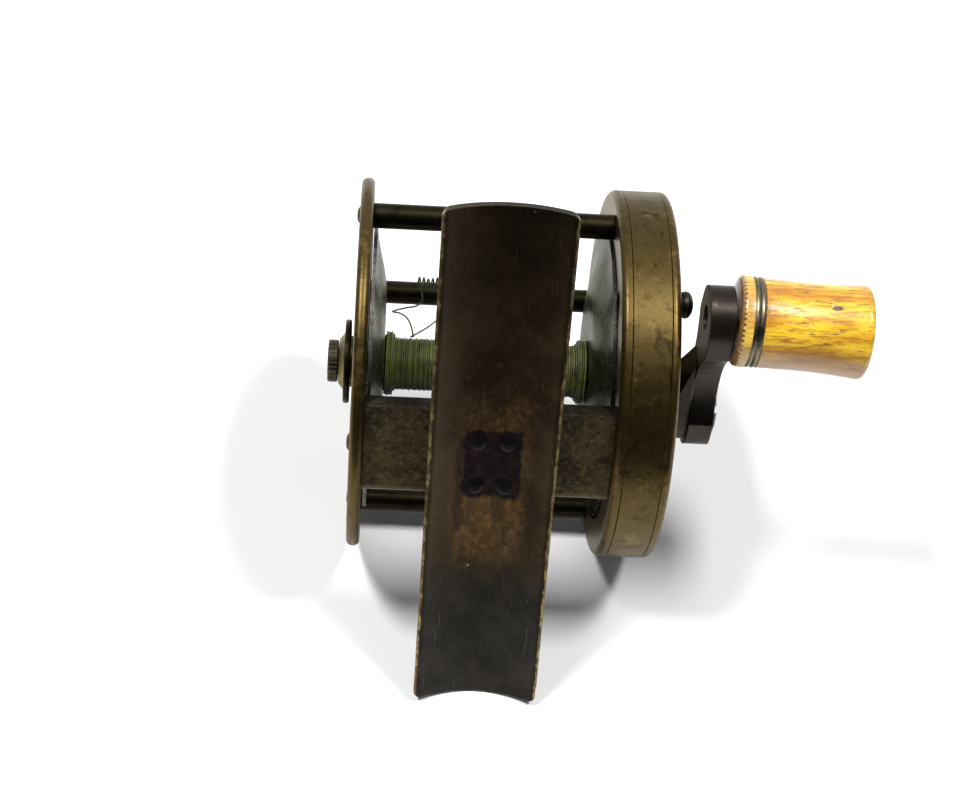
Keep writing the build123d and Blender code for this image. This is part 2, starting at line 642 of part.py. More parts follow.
def crank_arm(square_start):
    """A flat waisted bar on a narrower hub, which runs out along the bar in a curved web."""
    web_end = (CRANK[0] + 13.0 * ARM_U, 13.0 * ARM_V)
    middle = (Vector(*CRANK) + Vector(*HANDLE)) / 2
    across = Vector(-ARM_V, ARM_U) * (ARM_WAIST_R + ARM_WAIST / 2)
    along = section(0).x_dir * ARM_U + section(0).y_dir * ARM_V
    side_view = Plane(origin=centre(CRANK), x_dir=along, z_dir=along.cross(Vector(1, 0, 0)))
    past_eye = CRANK_REACH + 8
    with BuildPart() as arm:
        with BuildSketch(section(ARM_INNER)):
            with Locations(CRANK):
                Circle(ARM_END_R)
            with Locations(HANDLE):
                Circle(EYE_R)
            make_hull()
            with Locations(middle + across, middle - across):
                Circle(ARM_WAIST_R, mode=Mode.SUBTRACT)
        extrude(amount=ARM_OUTER - ARM_INNER)
        with BuildSketch(section(HUB_START)):
            with Locations(CRANK):
                Circle(HUB_R)
            with Locations(web_end):
                Circle(1.9)
            make_hull()
        extrude(amount=ARM_INNER - HUB_START)
        with BuildSketch(side_view) as side:
            with BuildLine():
                Polyline((14.5, ARM_INNER), (past_eye, ARM_INNER), (past_eye, ARM_OUTER), (-3.9, ARM_OUTER),
                         (-8.0, ARM_OUTER - 2.2), (-8.0, HUB_START), (5.2, HUB_START))
                ThreePointArc((5.2, HUB_START), (9.6, HUB_START + 1.6), (14.5, ARM_INNER))
            make_face()
        extrude(side.sketch, amount=10, both=True, mode=Mode.INTERSECT)
        rod(HUB_START, square_start, CRANK_SHAFT_R, [CRANK], Mode.SUBTRACT)
        crank_square(square_start, ARM_OUTER, Mode.SUBTRACT)
        turn([(ARM_INNER - 1, 0), (ARM_INNER - 1, HANDLE_PIN_R), (ARM_OUTER + 1, HANDLE_PIN_R),
              (ARM_OUTER + 1, 0)], handle_line(), Mode.SUBTRACT)
    finish(arm, "crank_arm")


def handle():
    line = handle_line()
    bore = HANDLE_PIN_R + SHAFT_FIT
    with BuildPart() as disc:
        turn([(HANDLE_BASE, bore), (HANDLE_BASE, 6.3), (HANDLE_BASE + 0.5, KNOB_R),
              (RINGS_START, KNOB_R + 0.1), (RINGS_START, bore)], line)
    finish(disc, "handle_base_disc")

    with BuildPart() as rings:
        for start in (RINGS_START, KNOB_START - RING_WIDTH):
            turn([(start, KNOB_SEAT_R), (start, RING_R - 0.2), (start + RING_WIDTH / 2, RING_R),
                  (start + RING_WIDTH, RING_R - 0.2), (start + RING_WIDTH, KNOB_SEAT_R)], line)
    finish(rings, "handle_rings")

    face_edge = HANDLE_END - 1.0
    with BuildPart() as knob:
        with BuildSketch(line) as profile:
            with BuildLine():
                Polyline((KNOB_START, KNOB_R), (KNOB_START, KNOB_SEAT_R), (RINGS_START, KNOB_SEAT_R),
                         (RINGS_START, bore), (PIN_HEAD - 0.1, bore), (PIN_HEAD - 0.1, 3.5),
                         (HANDLE_END, 3.5), (HANDLE_END, KNOB_FACE_R))
                ThreePointArc((HANDLE_END, KNOB_FACE_R), (HANDLE_END - 0.25, 6.97), (face_edge, KNOB_END_R))
                ThreePointArc((face_edge, KNOB_END_R), (KNOB_WAIST, KNOB_R - 0.1), (KNOB_START, KNOB_R))
            make_face()
        revolve(profile.sketch, axis=Axis(line.origin, line.x_dir))
    finish(knob, "handle_knob")


def tongue():
    """The lever's direction, the point of its centre line nearest the spool, and its tongue's tip."""
    pivot = Vector(*CHECK_PIVOT)
    along = (Vector(*CHECK_BUTTON) - pivot).normalized()
    root = pivot - along * pivot.dot(along)
    return along, root, root.normalized() * TONGUE_TIP_R


def check_phase():
    """The direction of the tongue's tip from the spool's axis when the check is on."""
    pivot = Vector(*CHECK_PIVOT)
    tip = tongue()[2]
    return direction(pivot + (tip - pivot).rotate(Axis.Z, CHECK_TRAVEL))


def check():
    pivot = Vector(*CHECK_PIVOT)
    button = Vector(*CHECK_BUTTON)
    along, root, tip = tongue()
    with BuildPart() as lever:
        with BuildSketch(section(CHECK_STATION)):
            tail = pivot - along * 5
            SlotCenterPoint((tail + button) / 2, button, 3.0)
            with Locations(CHECK_PIVOT, CHECK_BUTTON):
                Circle(2.4)
            with BuildLine():
                Polyline(root - along * 1.6, tip - along * 0.16, tip + along * 0.16, root + along * 1.6,
                         close=True)
            make_face()
            with Locations(CHECK_PIVOT):
                Circle(1.5 + SHAFT_FIT, mode=Mode.SUBTRACT)
            with Locations(CHECK_BUTTON):
                Circle(1.2, mode=Mode.SUBTRACT)
        extrude(amount=CHECK_THICK)
    finish(lever, "check_lever")

    with BuildPart() as stud:
        turn([(HEAD_BACK - 0.8, 0), (HEAD_BACK - 0.8, 1.2), (COVER_FACE + 0.25, 1.2),
              (COVER_FACE + 0.25, 1.9), (COVER_FACE + 1.2, 2.15), (COVER_FACE + 1.75, 1.95),
              (COVER_FACE + 2.15, 1.4), (COVER_FACE + 2.35, 0.7), (COVER_FACE + 2.4, 0)], CHECK_BUTTON)
    finish(stud, "check_button")

    lever_end = CHECK_STATION + CHECK_THICK
    with BuildPart() as post:
        turn([(HEAD_BACK - 0.8, 0), (HEAD_BACK - 0.8, 1.0), (HEAD_BACK, 1.0), (HEAD_BACK, 2.4),
              (CHECK_STATION - 0.1, 2.4), (CHECK_STATION - 0.1, 1.5), (lever_end + 0.1, 1.5),
              (lever_end + 0.1, 2.3), (lever_end + 0.6, 2.3), (lever_end + 0.6, 0)], CHECK_PIVOT)
    finish(post, "check_pivot")

    spring_u, spring_v = SPRING_SCREW
    with BuildPart() as spring:
        with BuildSketch(section(HEAD_BACK)):
            with Locations(SPRING_SCREW):
                Rectangle(4.2, 4.2)
        extrude(amount=lever_end - HEAD_BACK)
        rod(HEAD_BACK, lever_end, POST_SPIGOT_R, [SPRING_SCREW], Mode.SUBTRACT)
        with BuildSketch(section(CHECK_STATION)):
            with BuildLine():
                Polyline((spring_u + 2.1, spring_v + 2.1), (17.6, 1.5), (15.2, 4.75), (13.0, 5.35),
                         (13.0, 4.9), (14.9, 4.35), (17.2, 1.2), (spring_u + 1.4, spring_v + 2.1),
                         close=True)
            make_face()
        extrude(amount=CHECK_THICK)
    finish(spring, "check_spring")

    with BuildPart() as screw:
        rod(HEAD_BACK - 1.0, lever_end, POST_SPIGOT_R, [SPRING_SCREW])
        rod(lever_end, lever_end + 0.8, SCREW_HEAD_R, [SPRING_SCREW])
        saw_slot(lever_end + 0.4, 1.0, SLOT_WIDTH, 4.0, [SPRING_SCREW])
    finish(screw, "check_spring_screw")


os.makedirs("parts", exist_ok=True)
tail_plate()
head_plate()
gear_case()
pillars()
plate_screws()
foot_block()
foot()
foot_rivets()
bearings()
spool()
wound_line()
loose_line()
crank()
handle()
check()
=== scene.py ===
"""Looks for the brass winch: its studio, its materials and the pieces finer than their CAD."""

import json
import math
import random

import bmesh
import bpy
from mathutils import Matrix, Vector, noise


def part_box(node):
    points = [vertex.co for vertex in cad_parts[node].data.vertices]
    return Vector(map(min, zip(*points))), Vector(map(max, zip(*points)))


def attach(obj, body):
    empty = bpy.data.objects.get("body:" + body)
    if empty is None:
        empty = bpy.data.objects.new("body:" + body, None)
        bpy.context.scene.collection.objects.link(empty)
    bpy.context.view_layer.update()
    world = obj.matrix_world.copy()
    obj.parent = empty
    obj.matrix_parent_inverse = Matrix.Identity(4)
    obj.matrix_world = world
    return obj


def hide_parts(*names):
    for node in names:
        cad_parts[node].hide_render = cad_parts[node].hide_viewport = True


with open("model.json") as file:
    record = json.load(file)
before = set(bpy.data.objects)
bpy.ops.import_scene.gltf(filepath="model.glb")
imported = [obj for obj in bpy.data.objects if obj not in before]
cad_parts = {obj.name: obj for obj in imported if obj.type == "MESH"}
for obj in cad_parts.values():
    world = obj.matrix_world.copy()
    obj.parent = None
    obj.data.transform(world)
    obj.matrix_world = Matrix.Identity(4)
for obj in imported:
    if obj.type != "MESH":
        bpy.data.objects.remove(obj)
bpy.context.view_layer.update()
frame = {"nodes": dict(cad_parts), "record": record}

MM = 0.001
RECORD = frame["record"]
JOINTS = {joint["name"]: joint for joint in RECORD["behaviour"]["joints"]}
MOUNTS = {mount["name"]: mount for mount in RECORD["mounts"]}

# The frame's own directions: u leads away from the foot, v up along it, both square to X.
UP_FOOT = Vector(MOUNTS["foot_slide"]["axis"])
AWAY = -Vector(MOUNTS["foot_face"]["axis"])
ACROSS = Vector((1, 0, 0))
UPWARD = Vector((0, 0, 1))
SPOOL_AXIS = Vector(JOINTS["spool_spin"]["pos_m"])
HANDLE_FOOT = Vector(JOINTS["handle_spin"]["pos_m"])
HANDLE_LINE = Vector(JOINTS["handle_spin"]["axis"])
FOOT_LOW, FOOT_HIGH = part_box("foot")
FOOT_HALF = (FOOT_HIGH.x - FOOT_LOW.x) / MM / 2
FOOT_FRONT = (Vector(MOUNTS["foot_slide"]["pos_m"]) - SPOOL_AXIS).dot(AWAY) / MM
STATION_0 = (FOOT_LOW.x + FOOT_HIGH.x) / 2


def at(station, u, v):
    """The point at a station along X and (u, v) from the spool's axis, all in millimetres."""
    beside = AWAY * (u * MM) + UP_FOOT * (v * MM)
    return Vector((STATION_0 + station * MM, SPOOL_AXIS.y, SPOOL_AXIS.z)) + beside


def stations(node):
    """A node's first and last station, in millimetres."""
    low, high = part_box(node)
    return (low.x - STATION_0) / MM, (high.x - STATION_0) / MM


# ---------------------------------------------------------------- camera

CAMERA_TARGET = at(-0.64, 0.0, -6.14)
CAMERA_DISTANCE = 0.3396
CAMERA_ELEVATION = math.radians(48.95)
CAMERA_AZIMUTH = math.radians(-4.48)
CAMERA_ROLL = math.radians(5.98)
CAMERA_LENS = 77.0
SENSOR_WIDTH = 36.0
NEAR_CLIP = 0.01


def add_camera():
    data = bpy.data.cameras.new("camera")
    data.lens = CAMERA_LENS
    data.sensor_width = SENSOR_WIDTH
    data.clip_start = NEAR_CLIP
    camera = bpy.data.objects.new("camera", data)
    bpy.context.scene.collection.objects.link(camera)
    flat = math.cos(CAMERA_ELEVATION)
    back = Vector((flat * math.sin(CAMERA_AZIMUTH), -flat * math.cos(CAMERA_AZIMUTH),
                   math.sin(CAMERA_ELEVATION)))
    right = UPWARD.cross(back).normalized()
    up = back.cross(right)
    rolled_right = right * math.cos(CAMERA_ROLL) + up * math.sin(CAMERA_ROLL)
    rolled_up = up * math.cos(CAMERA_ROLL) - right * math.sin(CAMERA_ROLL)
    turn = Matrix((rolled_right, rolled_up, back)).transposed()
    camera.matrix_world = Matrix.Translation(CAMERA_TARGET + back * CAMERA_DISTANCE) @ turn.to_4x4()
    bpy.context.scene.camera = camera


# ---------------------------------------------------------------- the loose end of the line

LINE_R = 0.15
CURL_R = 0.75
CURL_START = -12.05     # station of the curl's first turn
CURL_SPAN = 3.65        # how far its turns reach along X
CURL_U = 5.2
CURL_V = 12.5
CURL_TURNS = 5
CURL_STEPS = 14         # points in each turn
# The line's route on both sides of the curl, as (station, u, v).
LINE_RISE = [
    (-12.2, 1.05, 4.4), (-12.45, 1.4, 5.9), (-13.3, 2.0, 7.5), (-14.6, 2.6, 8.0),
    (-15.7, 3.5, 7.6), (-15.8, 4.8, 7.1), (-14.8, 5.7, 7.0), (-13.3, 6.0, 7.3),
    (-11.9, 6.1, 7.5), (-10.9, 6.0, 8.5), (-11.0, 5.8, 9.9), (-11.6, 5.5, 11.1),
    (-11.9, 5.2, 12.4),
]
LINE_FALL = [
    (-8.3, 5.2, 12.5), (-7.0, 5.2, 12.3), (-5.9, 5.0, 11.4), (-5.6, 4.6, 10.1),
    (-6.2, 4.0, 8.8), (-7.2, 3.3, 7.8), (-8.5, 2.6, 6.9), (-10.0, 1.8, 5.9),
    (-11.4, 1.4, 5.1), (-12.7, 1.22, 4.33),
]


def curl():
    """The tight curl between the rise and the fall, as points of the line's own spline."""
    steps = CURL_STEPS * CURL_TURNS
    points = []
    for step in range(1, steps):
        share = step / steps
        angle = 2 * math.pi * CURL_TURNS * share + math.pi
        # The turns differ a little in size.
        size = CURL_R * (0.82 + 0.18 * math.sin(2.7 * share * math.pi))
        points.append((CURL_START + CURL_SPAN * share,
                       CURL_U + size * math.sin(angle), CURL_V + size * math.cos(angle)))
    return points


def add_loose_line():
    """The line's loose end: one round curve that stands for its three plain CAD pieces."""
    points = [at(*place) for place in LINE_RISE + curl() + LINE_FALL]
    data = bpy.data.curves.new("loose_line", "CURVE")
    data.dimensions = "3D"
    data.bevel_depth = LINE_R   # millimetres, which each point's radius brings to metres
    data.bevel_resolution = 3
    data.resolution_u = 8
    spline = data.splines.new("NURBS")
    spline.points.add(len(points) - 1)
    for point, place in zip(spline.points, points):
        point.co = (*place, 1)
        point.radius = MM
    spline.order_u = 3
    spline.use_endpoint_u = True
    loose = bpy.data.objects.new("loose_line", data)
    bpy.context.scene.collection.objects.link(loose)
    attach(loose, "spool")
    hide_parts("loose_line_rise", "loose_line_curl", "loose_line_fall")
    return loose


# ---------------------------------------------------------------- studio

LIGHT_SIZE = (0.36, 0.18)
# Each light's place in metres and its power in watts.
LIGHTS = {"left": ((-0.51, -0.02, 1.25), 15.4), "right": ((0.49, -0.02, 1.25), 13.8)}


def add_light(name, place, power):
    """A soft rectangular light at a place (metres), aimed at the reel."""
    data = bpy.data.lights.new(name, "AREA")
    data.shape = "RECTANGLE"
    data.size, data.size_y = LIGHT_SIZE
    data.energy = power
    light = bpy.data.objects.new(name, data)
    light.location = place
    light.rotation_euler = (SPOOL_AXIS - Vector(place)).to_track_quat("-Z", "Y").to_euler()
    bpy.context.scene.collection.objects.link(light)


WHITE = (1, 1, 1, 1)
AMBIENT = (0.17, 0.18, 0.20, 1)
SKY = (0.80, 0.81, 0.83, 1)
DARK_FRONT = (0.012, 0.012, 0.013, 1)
SKY_MIDDLE = (0.0, 0.76, 0.65)      # where reflections find the middle of the sky
SKY_FADE = (-0.15, 0.80)            # cosines to it where they find only dark, and only sky
MIX_A, MIX_B = 6, 7                 # the colour sockets of a Mix node


def mixed(tree, amount, first, second):
    """A shader between two others."""
    made = tree.nodes.new("ShaderNodeMixShader")
    for value, socket in zip((amount, first, second), made.inputs):
        tree.links.new(value, socket)
    return made.outputs[0]


def add_world():
    """White all round to look at; in reflections bright overhead and behind, and dark in front."""
    world = bpy.data.worlds.new("studio")
    world.use_nodes = True
    bpy.context.scene.world = world
    tree = world.node_tree
    output = tree.nodes["World Output"]
    plain = tree.nodes["Background"]
    plain.inputs["Color"].default_value = WHITE
    coords = tree.nodes.new("ShaderNodeTexCoord")
    facing = tree.nodes.new("ShaderNodeVectorMath")
    facing.operation = "DOT_PRODUCT"
    facing.inputs[1].default_value = SKY_MIDDLE
    tree.links.new(coords.outputs["Generated"], facing.inputs[0])
    ramp = tree.nodes.new("ShaderNodeMapRange")
    ramp.interpolation_type = "SMOOTHSTEP"
    ramp.inputs["From Min"].default_value, ramp.inputs["From Max"].default_value = SKY_FADE
    tree.links.new(facing.outputs["Value"], ramp.inputs["Value"])
    tone = tree.nodes.new("ShaderNodeMix")
    tone.data_type = "RGBA"
    tone.inputs[MIX_A].default_value = DARK_FRONT
    tone.inputs[MIX_B].default_value = SKY
    tree.links.new(ramp.outputs["Result"], tone.inputs[0])
    mirrored = tree.nodes.new("ShaderNodeBackground")
    tree.links.new(tone.outputs[2], mirrored.inputs["Color"])
    ambient = tree.nodes.new("ShaderNodeBackground")
    ambient.inputs["Color"].default_value = AMBIENT
    path = tree.nodes.new("ShaderNodeLightPath")
    lit = mixed(tree, path.outputs["Is Glossy Ray"], ambient.outputs[0], mirrored.outputs[0])
    seen = mixed(tree, path.outputs["Is Camera Ray"], lit, plain.outputs[0])
    tree.links.new(seen, output.inputs["Surface"])


FLOOR_SIZE = 0.9
FLOOR_WHITE = (0.93, 0.93, 0.93)
FLOOR_DARK = (0.02, 0.02, 0.02, 1)
FLOOR_END = (-85.0, -125.0)     # y in mm between which reflections lose the table in front


def add_floor():
    """A white table. Reflections find it ending in front of the reel, as a table does."""
    bpy.ops.mesh.primitive_plane_add(size=FLOOR_SIZE, location=(0, 0, 0))
    floor = bpy.context.object
    floor.name = "floor"
    s = Shader("studio_floor")
    s.set(colour=FLOOR_WHITE, roughness=0.9, specular=0.1)
    path = s.node("ShaderNodeLightPath")
    y = s.vector("DOT_PRODUCT", s.mm, (0, 1, 0))
    beyond = s.ramp(y, *FLOOR_END)
    hidden = s.times(beyond, path.outputs["Is Glossy Ray"])
    dark = s.node("ShaderNodeBsdfDiffuse")
    dark.inputs["Color"].default_value = FLOOR_DARK
    both = mixed(s.tree, hidden, s.bsdf.outputs[0], dark.outputs[0])
    s.tree.links.new(both, s.tree.nodes["Material Output"].inputs["Surface"])
    floor.data.materials.append(s.material)


# ---------------------------------------------------------------- material helpers

class Shader:
    """A Principled material built from nodes. Places are object coordinates in millimetres."""

    SOCKETS = {
        "colour": "Base Color", "roughness": "Roughness", "metallic": "Metallic",
        "normal": "Normal", "coat": "Coat Weight", "coat_roughness": "Coat Roughness",
        "specular": "Specular IOR Level", "tint": "Specular Tint", "streaky": "Anisotropic",
        "tangent": "Tangent", "subsurface": "Subsurface Weight",
    }

    def __init__(self, name):
        self.material = bpy.data.materials.new(name)
        self.material.use_nodes = True
        self.tree = self.material.node_tree
        self.bsdf = self.tree.nodes["Principled BSDF"]
        coords = self.node("ShaderNodeTexCoord")
        scale = self.node("ShaderNodeVectorMath", operation="SCALE")
        scale.inputs["Scale"].default_value = 1 / MM
        self.tree.links.new(coords.outputs["Object"], scale.inputs[0])
        self.mm = scale.outputs[0]

    def node(self, kind, **settings):
        made = self.tree.nodes.new(kind)
        for key, value in settings.items():
            setattr(made, key, value)
        return made

    def join(self, value, socket):
        """Link an output to a socket, or set the socket's own value."""
        if isinstance(value, bpy.types.NodeSocket):
            self.tree.links.new(value, socket)
        elif socket.type == "RGBA" and len(value) == 3:
            socket.default_value = (*value, 1)
        else:
            socket.default_value = value

    def set(self, **sockets):
        """Link or set the shader's own sockets, by the names in SOCKETS."""
        for key, value in sockets.items():
            self.join(value, self.bsdf.inputs[self.SOCKETS[key]])

    def math(self, operation, a, b=0.0):
        made = self.node("ShaderNodeMath", operation=operation)
        self.join(a, made.inputs[0])
        self.join(b, made.inputs[1])
        return made.outputs[0]

    def plus(self, a, b):
        return self.math("ADD", a, b)

    def minus(self, a, b):
        return self.math("SUBTRACT", a, b)

    def times(self, a, b):
        return self.math("MULTIPLY", a, b)

    def larger(self, a, b):
        return self.math("MAXIMUM", a, b)

    def vector(self, operation, a, b=(0, 0, 0)):
        made = self.node("ShaderNodeVectorMath", operation=operation)
        self.join(a, made.inputs[0])
        self.join(b, made.inputs[1])
        number = operation in ("DOT_PRODUCT", "LENGTH", "DISTANCE")
        return made.outputs["Value" if number else "Vector"]

    def along(self, direction, origin):
        """How far a place is along a direction from an origin (metres), in millimetres."""
        reach = self.vector("DOT_PRODUCT", self.mm, tuple(direction))
        return self.minus(reach, origin.dot(direction) / MM)

    def noise(self, size, detail=4.0, roughness=0.55, place=None, distortion=0.0):
        """Noise with features of about size millimetres; 0 to 1, mostly 0.3 to 0.7."""
        made = self.node("ShaderNodeTexNoise")
        self.join(place or self.mm, made.inputs["Vector"])
        made.inputs["Scale"].default_value = 1 / size
        made.inputs["Detail"].default_value = detail
        made.inputs["Roughness"].default_value = roughness
        made.inputs["Distortion"].default_value = distortion
        return made.outputs["Fac"]

    def noise_along(self, value, scale, detail):
        """Noise that changes only with one value."""
        made = self.node("ShaderNodeTexNoise", noise_dimensions="1D")
        self.join(value, made.inputs["W"])
        made.inputs["Scale"].default_value = scale
        made.inputs["Detail"].default_value = detail
        return made.outputs["Fac"]

    def stretched(self, scale, turn=(0, 0, 0), place=None):
        """Texture places drawn out along axes: a large scale makes fine detail that way."""
        made = self.node("ShaderNodeMapping")
        self.join(place or self.mm, made.inputs["Vector"])
        made.inputs["Rotation"].default_value = turn
        made.inputs["Scale"].default_value = scale
        return made.outputs[0]

    def spots(self, size, place=None):
        """Distance to the nearest of scattered points about size millimetres apart."""
        made = self.node("ShaderNodeTexVoronoi")
        self.join(place or self.mm, made.inputs["Vector"])
        made.inputs["Scale"].default_value = 1 / size
        return made.outputs["Distance"]

    def ramp(self, value, low, high):
        """0 where value is below low, 1 above high (or the other way round), smooth between."""
        made = self.node("ShaderNodeMapRange", interpolation_type="SMOOTHSTEP")
        self.join(value, made.inputs["Value"])
        made.inputs["From Min"].default_value = min(low, high)
        made.inputs["From Max"].default_value = max(low, high)
        made.inputs["To Min"].default_value = 0.0 if low < high else 1.0
        made.inputs["To Max"].default_value = 1.0 if low < high else 0.0
        return made.outputs["Result"]

    def band(self, value, low, high, soft):
        """1 between low and high, falling to 0 over soft on either side."""
        return self.times(self.ramp(value, low - soft, low), self.ramp(value, high + soft, high))

    def mix(self, amount, a, b):
        """A colour between a and b."""
        made = self.node("ShaderNodeMix", data_type="RGBA")
        self.join(amount, made.inputs[0])
        self.join(a, made.inputs[MIX_A])
        self.join(b, made.inputs[MIX_B])
        return made.outputs[2]

    def strayed(self, value, ragged, share):
        """A value moved by a share of a ragged noise, so that what it bounds has a ragged edge."""
        return self.plus(value, self.times(ragged, share))

    def layer(self, colour, over, amount, strength):
        """A colour with another laid over it, at most strength thick."""
        return self.mix(self.times(amount, strength), colour, over)

    def blend(self, amount, a, b):
        """A number between a and b."""
        made = self.node("ShaderNodeMix", data_type="FLOAT")
        self.join(amount, made.inputs[0])
        self.join(a, made.inputs[2])
        self.join(b, made.inputs[3])
        return made.outputs[0]

    def rounded(self, width):
        """A normal that turns evenly within width millimetres of an edge; None for no width."""
        if not width:
            return None
        bevel = self.node("ShaderNodeBevel", samples=8)
        bevel.inputs["Radius"].default_value = width * MM
        return bevel.outputs[0]

    def bump(self, height, depth, ground=None):
        """A normal from a height of 0 to 1 that stands depth millimetres on a ground normal."""
        made = self.node("ShaderNodeBump")
        if ground is not None:
            self.join(ground, made.inputs["Normal"])
        made.inputs["Distance"].default_value = depth * MM
        self.join(height, made.inputs["Height"])
        return made.outputs[0]

    def edges(self, width):
        """1 along edges, to about width millimetres from them, and 0 on flat ground."""
        bevel = self.node("ShaderNodeBevel", samples=6)
        bevel.inputs["Radius"].default_value = width * MM
        ground = self.node("ShaderNodeNewGeometry")
        together = self.vector("DOT_PRODUCT", bevel.outputs[0], ground.outputs["Normal"])
        return self.ramp(together, 1.0, 0.88)

    def radial(self, axis):
        """The place's offset from a line parallel to X, in millimetres."""
        offset = self.vector("SUBTRACT", self.mm, tuple(axis / MM))
        return self.vector("MULTIPLY", offset, (0, 1, 1))

    def combined(self, x, y, z):
        made = self.node("ShaderNodeCombineXYZ")
        for value, socket in zip((x, y, z), made.inputs):
            self.join(value, socket)
        return made.outputs[0]

    def on_foot(self):
        """The place as (across the foot, out from it, up along it), in millimetres."""
        return self.combined(self.along(ACROSS, at(0, 0, 0)), self.along(AWAY, SPOOL_AXIS),
                             self.along(UP_FOOT, SPOOL_AXIS))


def dress(material, *nodes):
    """Give CAD nodes a material in every slot."""
    for name in nodes:
        data = frame["nodes"][name].data
        if not data.materials:
            data.materials.append(material)
        for slot in range(len(data.materials)):
            data.materials[slot] = material


# ---------------------------------------------------------------- metals

GRAZING_TINT = (0.92, 0.89, 0.82, 1)    # old metal doesn't turn white where it is seen edge on
EDGE_REACH = 0.30                       # mm from an edge that hands have rubbed


def patina(name, bare, aged, dark, roughness, cover=0.5, grain=1.0, wear=0.7, metallic=0.93,
           depth=0.02, round_edges=0.0):
    """Old metal: bare where it is rubbed, aged over most of it, and dark in stains and freckles."""
    s = Shader(name)
    broad = s.noise(9 * grain, detail=6, roughness=0.62)
    fine = s.noise(1.6 * grain, detail=6, roughness=0.7)
    clouds = s.ramp(s.plus(s.times(broad, 0.55), s.times(fine, 0.45)), 0.66 - 0.26 * cover, 0.68)
    freckles = s.ramp(s.noise(0.62 * grain, detail=5, roughness=0.6), 0.52, 0.72)
    colour = s.mix(clouds, aged, bare)
    stains = s.noise(3.4 * grain, detail=5, roughness=0.6, distortion=0.6)
    colour = s.layer(colour, dark, s.ramp(stains, 0.54, 0.70), 0.7)
    colour = s.layer(colour, dark, freckles, 0.5)
    rubbed = s.times(s.edges(EDGE_REACH), s.ramp(s.noise(0.9, detail=4), 0.36, 0.60))
    colour = s.layer(colour, bare, rubbed, wear)
    rough = s.plus(s.times(fine, 0.24), roughness - 0.12)
    rough = s.blend(s.times(rubbed, wear), rough, roughness * 0.7)
    scratches = s.noise(0.35, detail=2, place=s.stretched((0.12, 1.0, 1.0), (0.3, 0.1, 0.5)))
    height = s.plus(s.times(fine, 0.7), s.times(scratches, 0.3))
    s.set(colour=colour, roughness=rough, metallic=metallic, tint=GRAZING_TINT,
          normal=s.bump(height, depth, ground=s.rounded(round_edges)))
    return s.material


BLOCK_HALF = 7.5    # half the block's height along the foot
RIVET_X = 2.4       # the four rivets' places in the foot
RIVET_V = 3.8


def block_material():
    """The block between the plates: greyer than them and rubbed, its upper face nearly black."""
    s = Shader("block_brass")
    v = s.along(UP_FOOT, SPOOL_AXIS)
    broad = s.noise(5.0, detail=6, roughness=0.65)
    fine = s.noise(0.8, detail=6, roughness=0.72)
    colour = s.mix(s.ramp(broad, 0.40, 0.60), (0.034, 0.027, 0.014), (0.090, 0.065, 0.026))
    colour = s.layer(colour, (0.17, 0.135, 0.070), s.ramp(fine, 0.50, 0.64), 0.6)
    colour = s.layer(colour, (0.010, 0.008, 0.006), s.ramp(fine, 0.44, 0.36), 0.8)
    ragged = s.times(s.minus(broad, 0.5), 2.0)
    upper = s.ramp(s.plus(v, ragged), BLOCK_HALF - 1.0, BLOCK_HALF + 0.1)
    colour = s.layer(colour, (0.006, 0.005, 0.004), upper, 0.92)
    lower = s.ramp(s.strayed(v, ragged, 0.6), -BLOCK_HALF + 1.2, -BLOCK_HALF + 0.2)
    colour = s.layer(colour, (0.26, 0.22, 0.14), lower, 0.5)
    rough = s.plus(s.times(fine, 0.3), 0.32)
    s.set(colour=colour, roughness=s.blend(upper, rough, 0.8), metallic=s.blend(upper, 0.8, 0.0),
          specular=s.blend(upper, 0.5, 0.06), normal=s.bump(fine, 0.03))
    return s.material


def rivet_stain(s, x, v, ragged, fine):
    """The dark square left round the four rivets, with smudges running from it."""
    square = s.times(s.band(s.strayed(x, ragged, 0.22), -3.9, 4.1, 0.7),
                     s.band(s.strayed(v, ragged, 0.3), -5.2, 5.4, 0.9))
    smear = s.times(s.band(s.strayed(x, ragged, 0.16), -5.2, -4.1, 0.5),
                    s.band(s.plus(v, ragged), -11.0, 3.0, 2.5))
    for rivet_x in (-RIVET_X, RIVET_X):
        for rivet_v in (-RIVET_V, RIVET_V):
            ring = s.vector("DISTANCE", s.combined(x, v, 0.0), (rivet_x, rivet_v, 0.0))
            halo = s.ramp(s.strayed(ring, ragged, 0.06), 2.45, 1.95)
            square = s.larger(square, halo)
    square = s.times(square, s.blend(s.ramp(fine, 0.35, 0.65), 1.0, 0.86))
    return s.larger(square, s.times(smear, 0.6))


def warm_patch(s, x, v, ragged, fine):
    """Where the brown is rubbed warm, above and below the rivets."""
    ragged_x = s.strayed(x, ragged, 0.45)
    ragged_v = s.strayed(v, ragged, 0.8)
    above = s.times(s.band(ragged_x, -3.4, 3.8, 3.0), s.band(ragged_v, 3.0, 8.0, 5.0))
    below = s.times(s.band(ragged_x, -3.6, 3.4, 3.2), s.band(ragged_v, -13.0, -4.0, 6.5))
    warm = s.plus(s.times(above, 0.5), s.times(below, 0.72))
    drawn_out = s.stretched((1.0, 1.0, 0.28), place=s.on_foot())
    runs = s.noise(1.5, detail=5, roughness=0.65, place=drawn_out)
    warm = s.times(warm, s.blend(s.ramp(runs, 0.36, 0.58), 0.35, 1.0))
    return s.times(warm, s.blend(s.ramp(fine, 0.40, 0.62), 0.45, 1.0))


def rubbed_edges(s, x):
    """The foot's long edges, where their bronze is bare."""
    wander = s.times(s.minus(s.noise(2.3, detail=6, roughness=0.7), 0.5), 1.1)
    rubbed = s.ramp(s.plus(s.math("ABSOLUTE", x), wander), FOOT_HALF - 0.50, FOOT_HALF - 0.26)
    corner = s.times(s.edges(0.16), s.ramp(s.noise(1.8, detail=5), 0.38, 0.60))
    return s.larger(s.times(rubbed, 0.9), s.times(corner, 0.35))


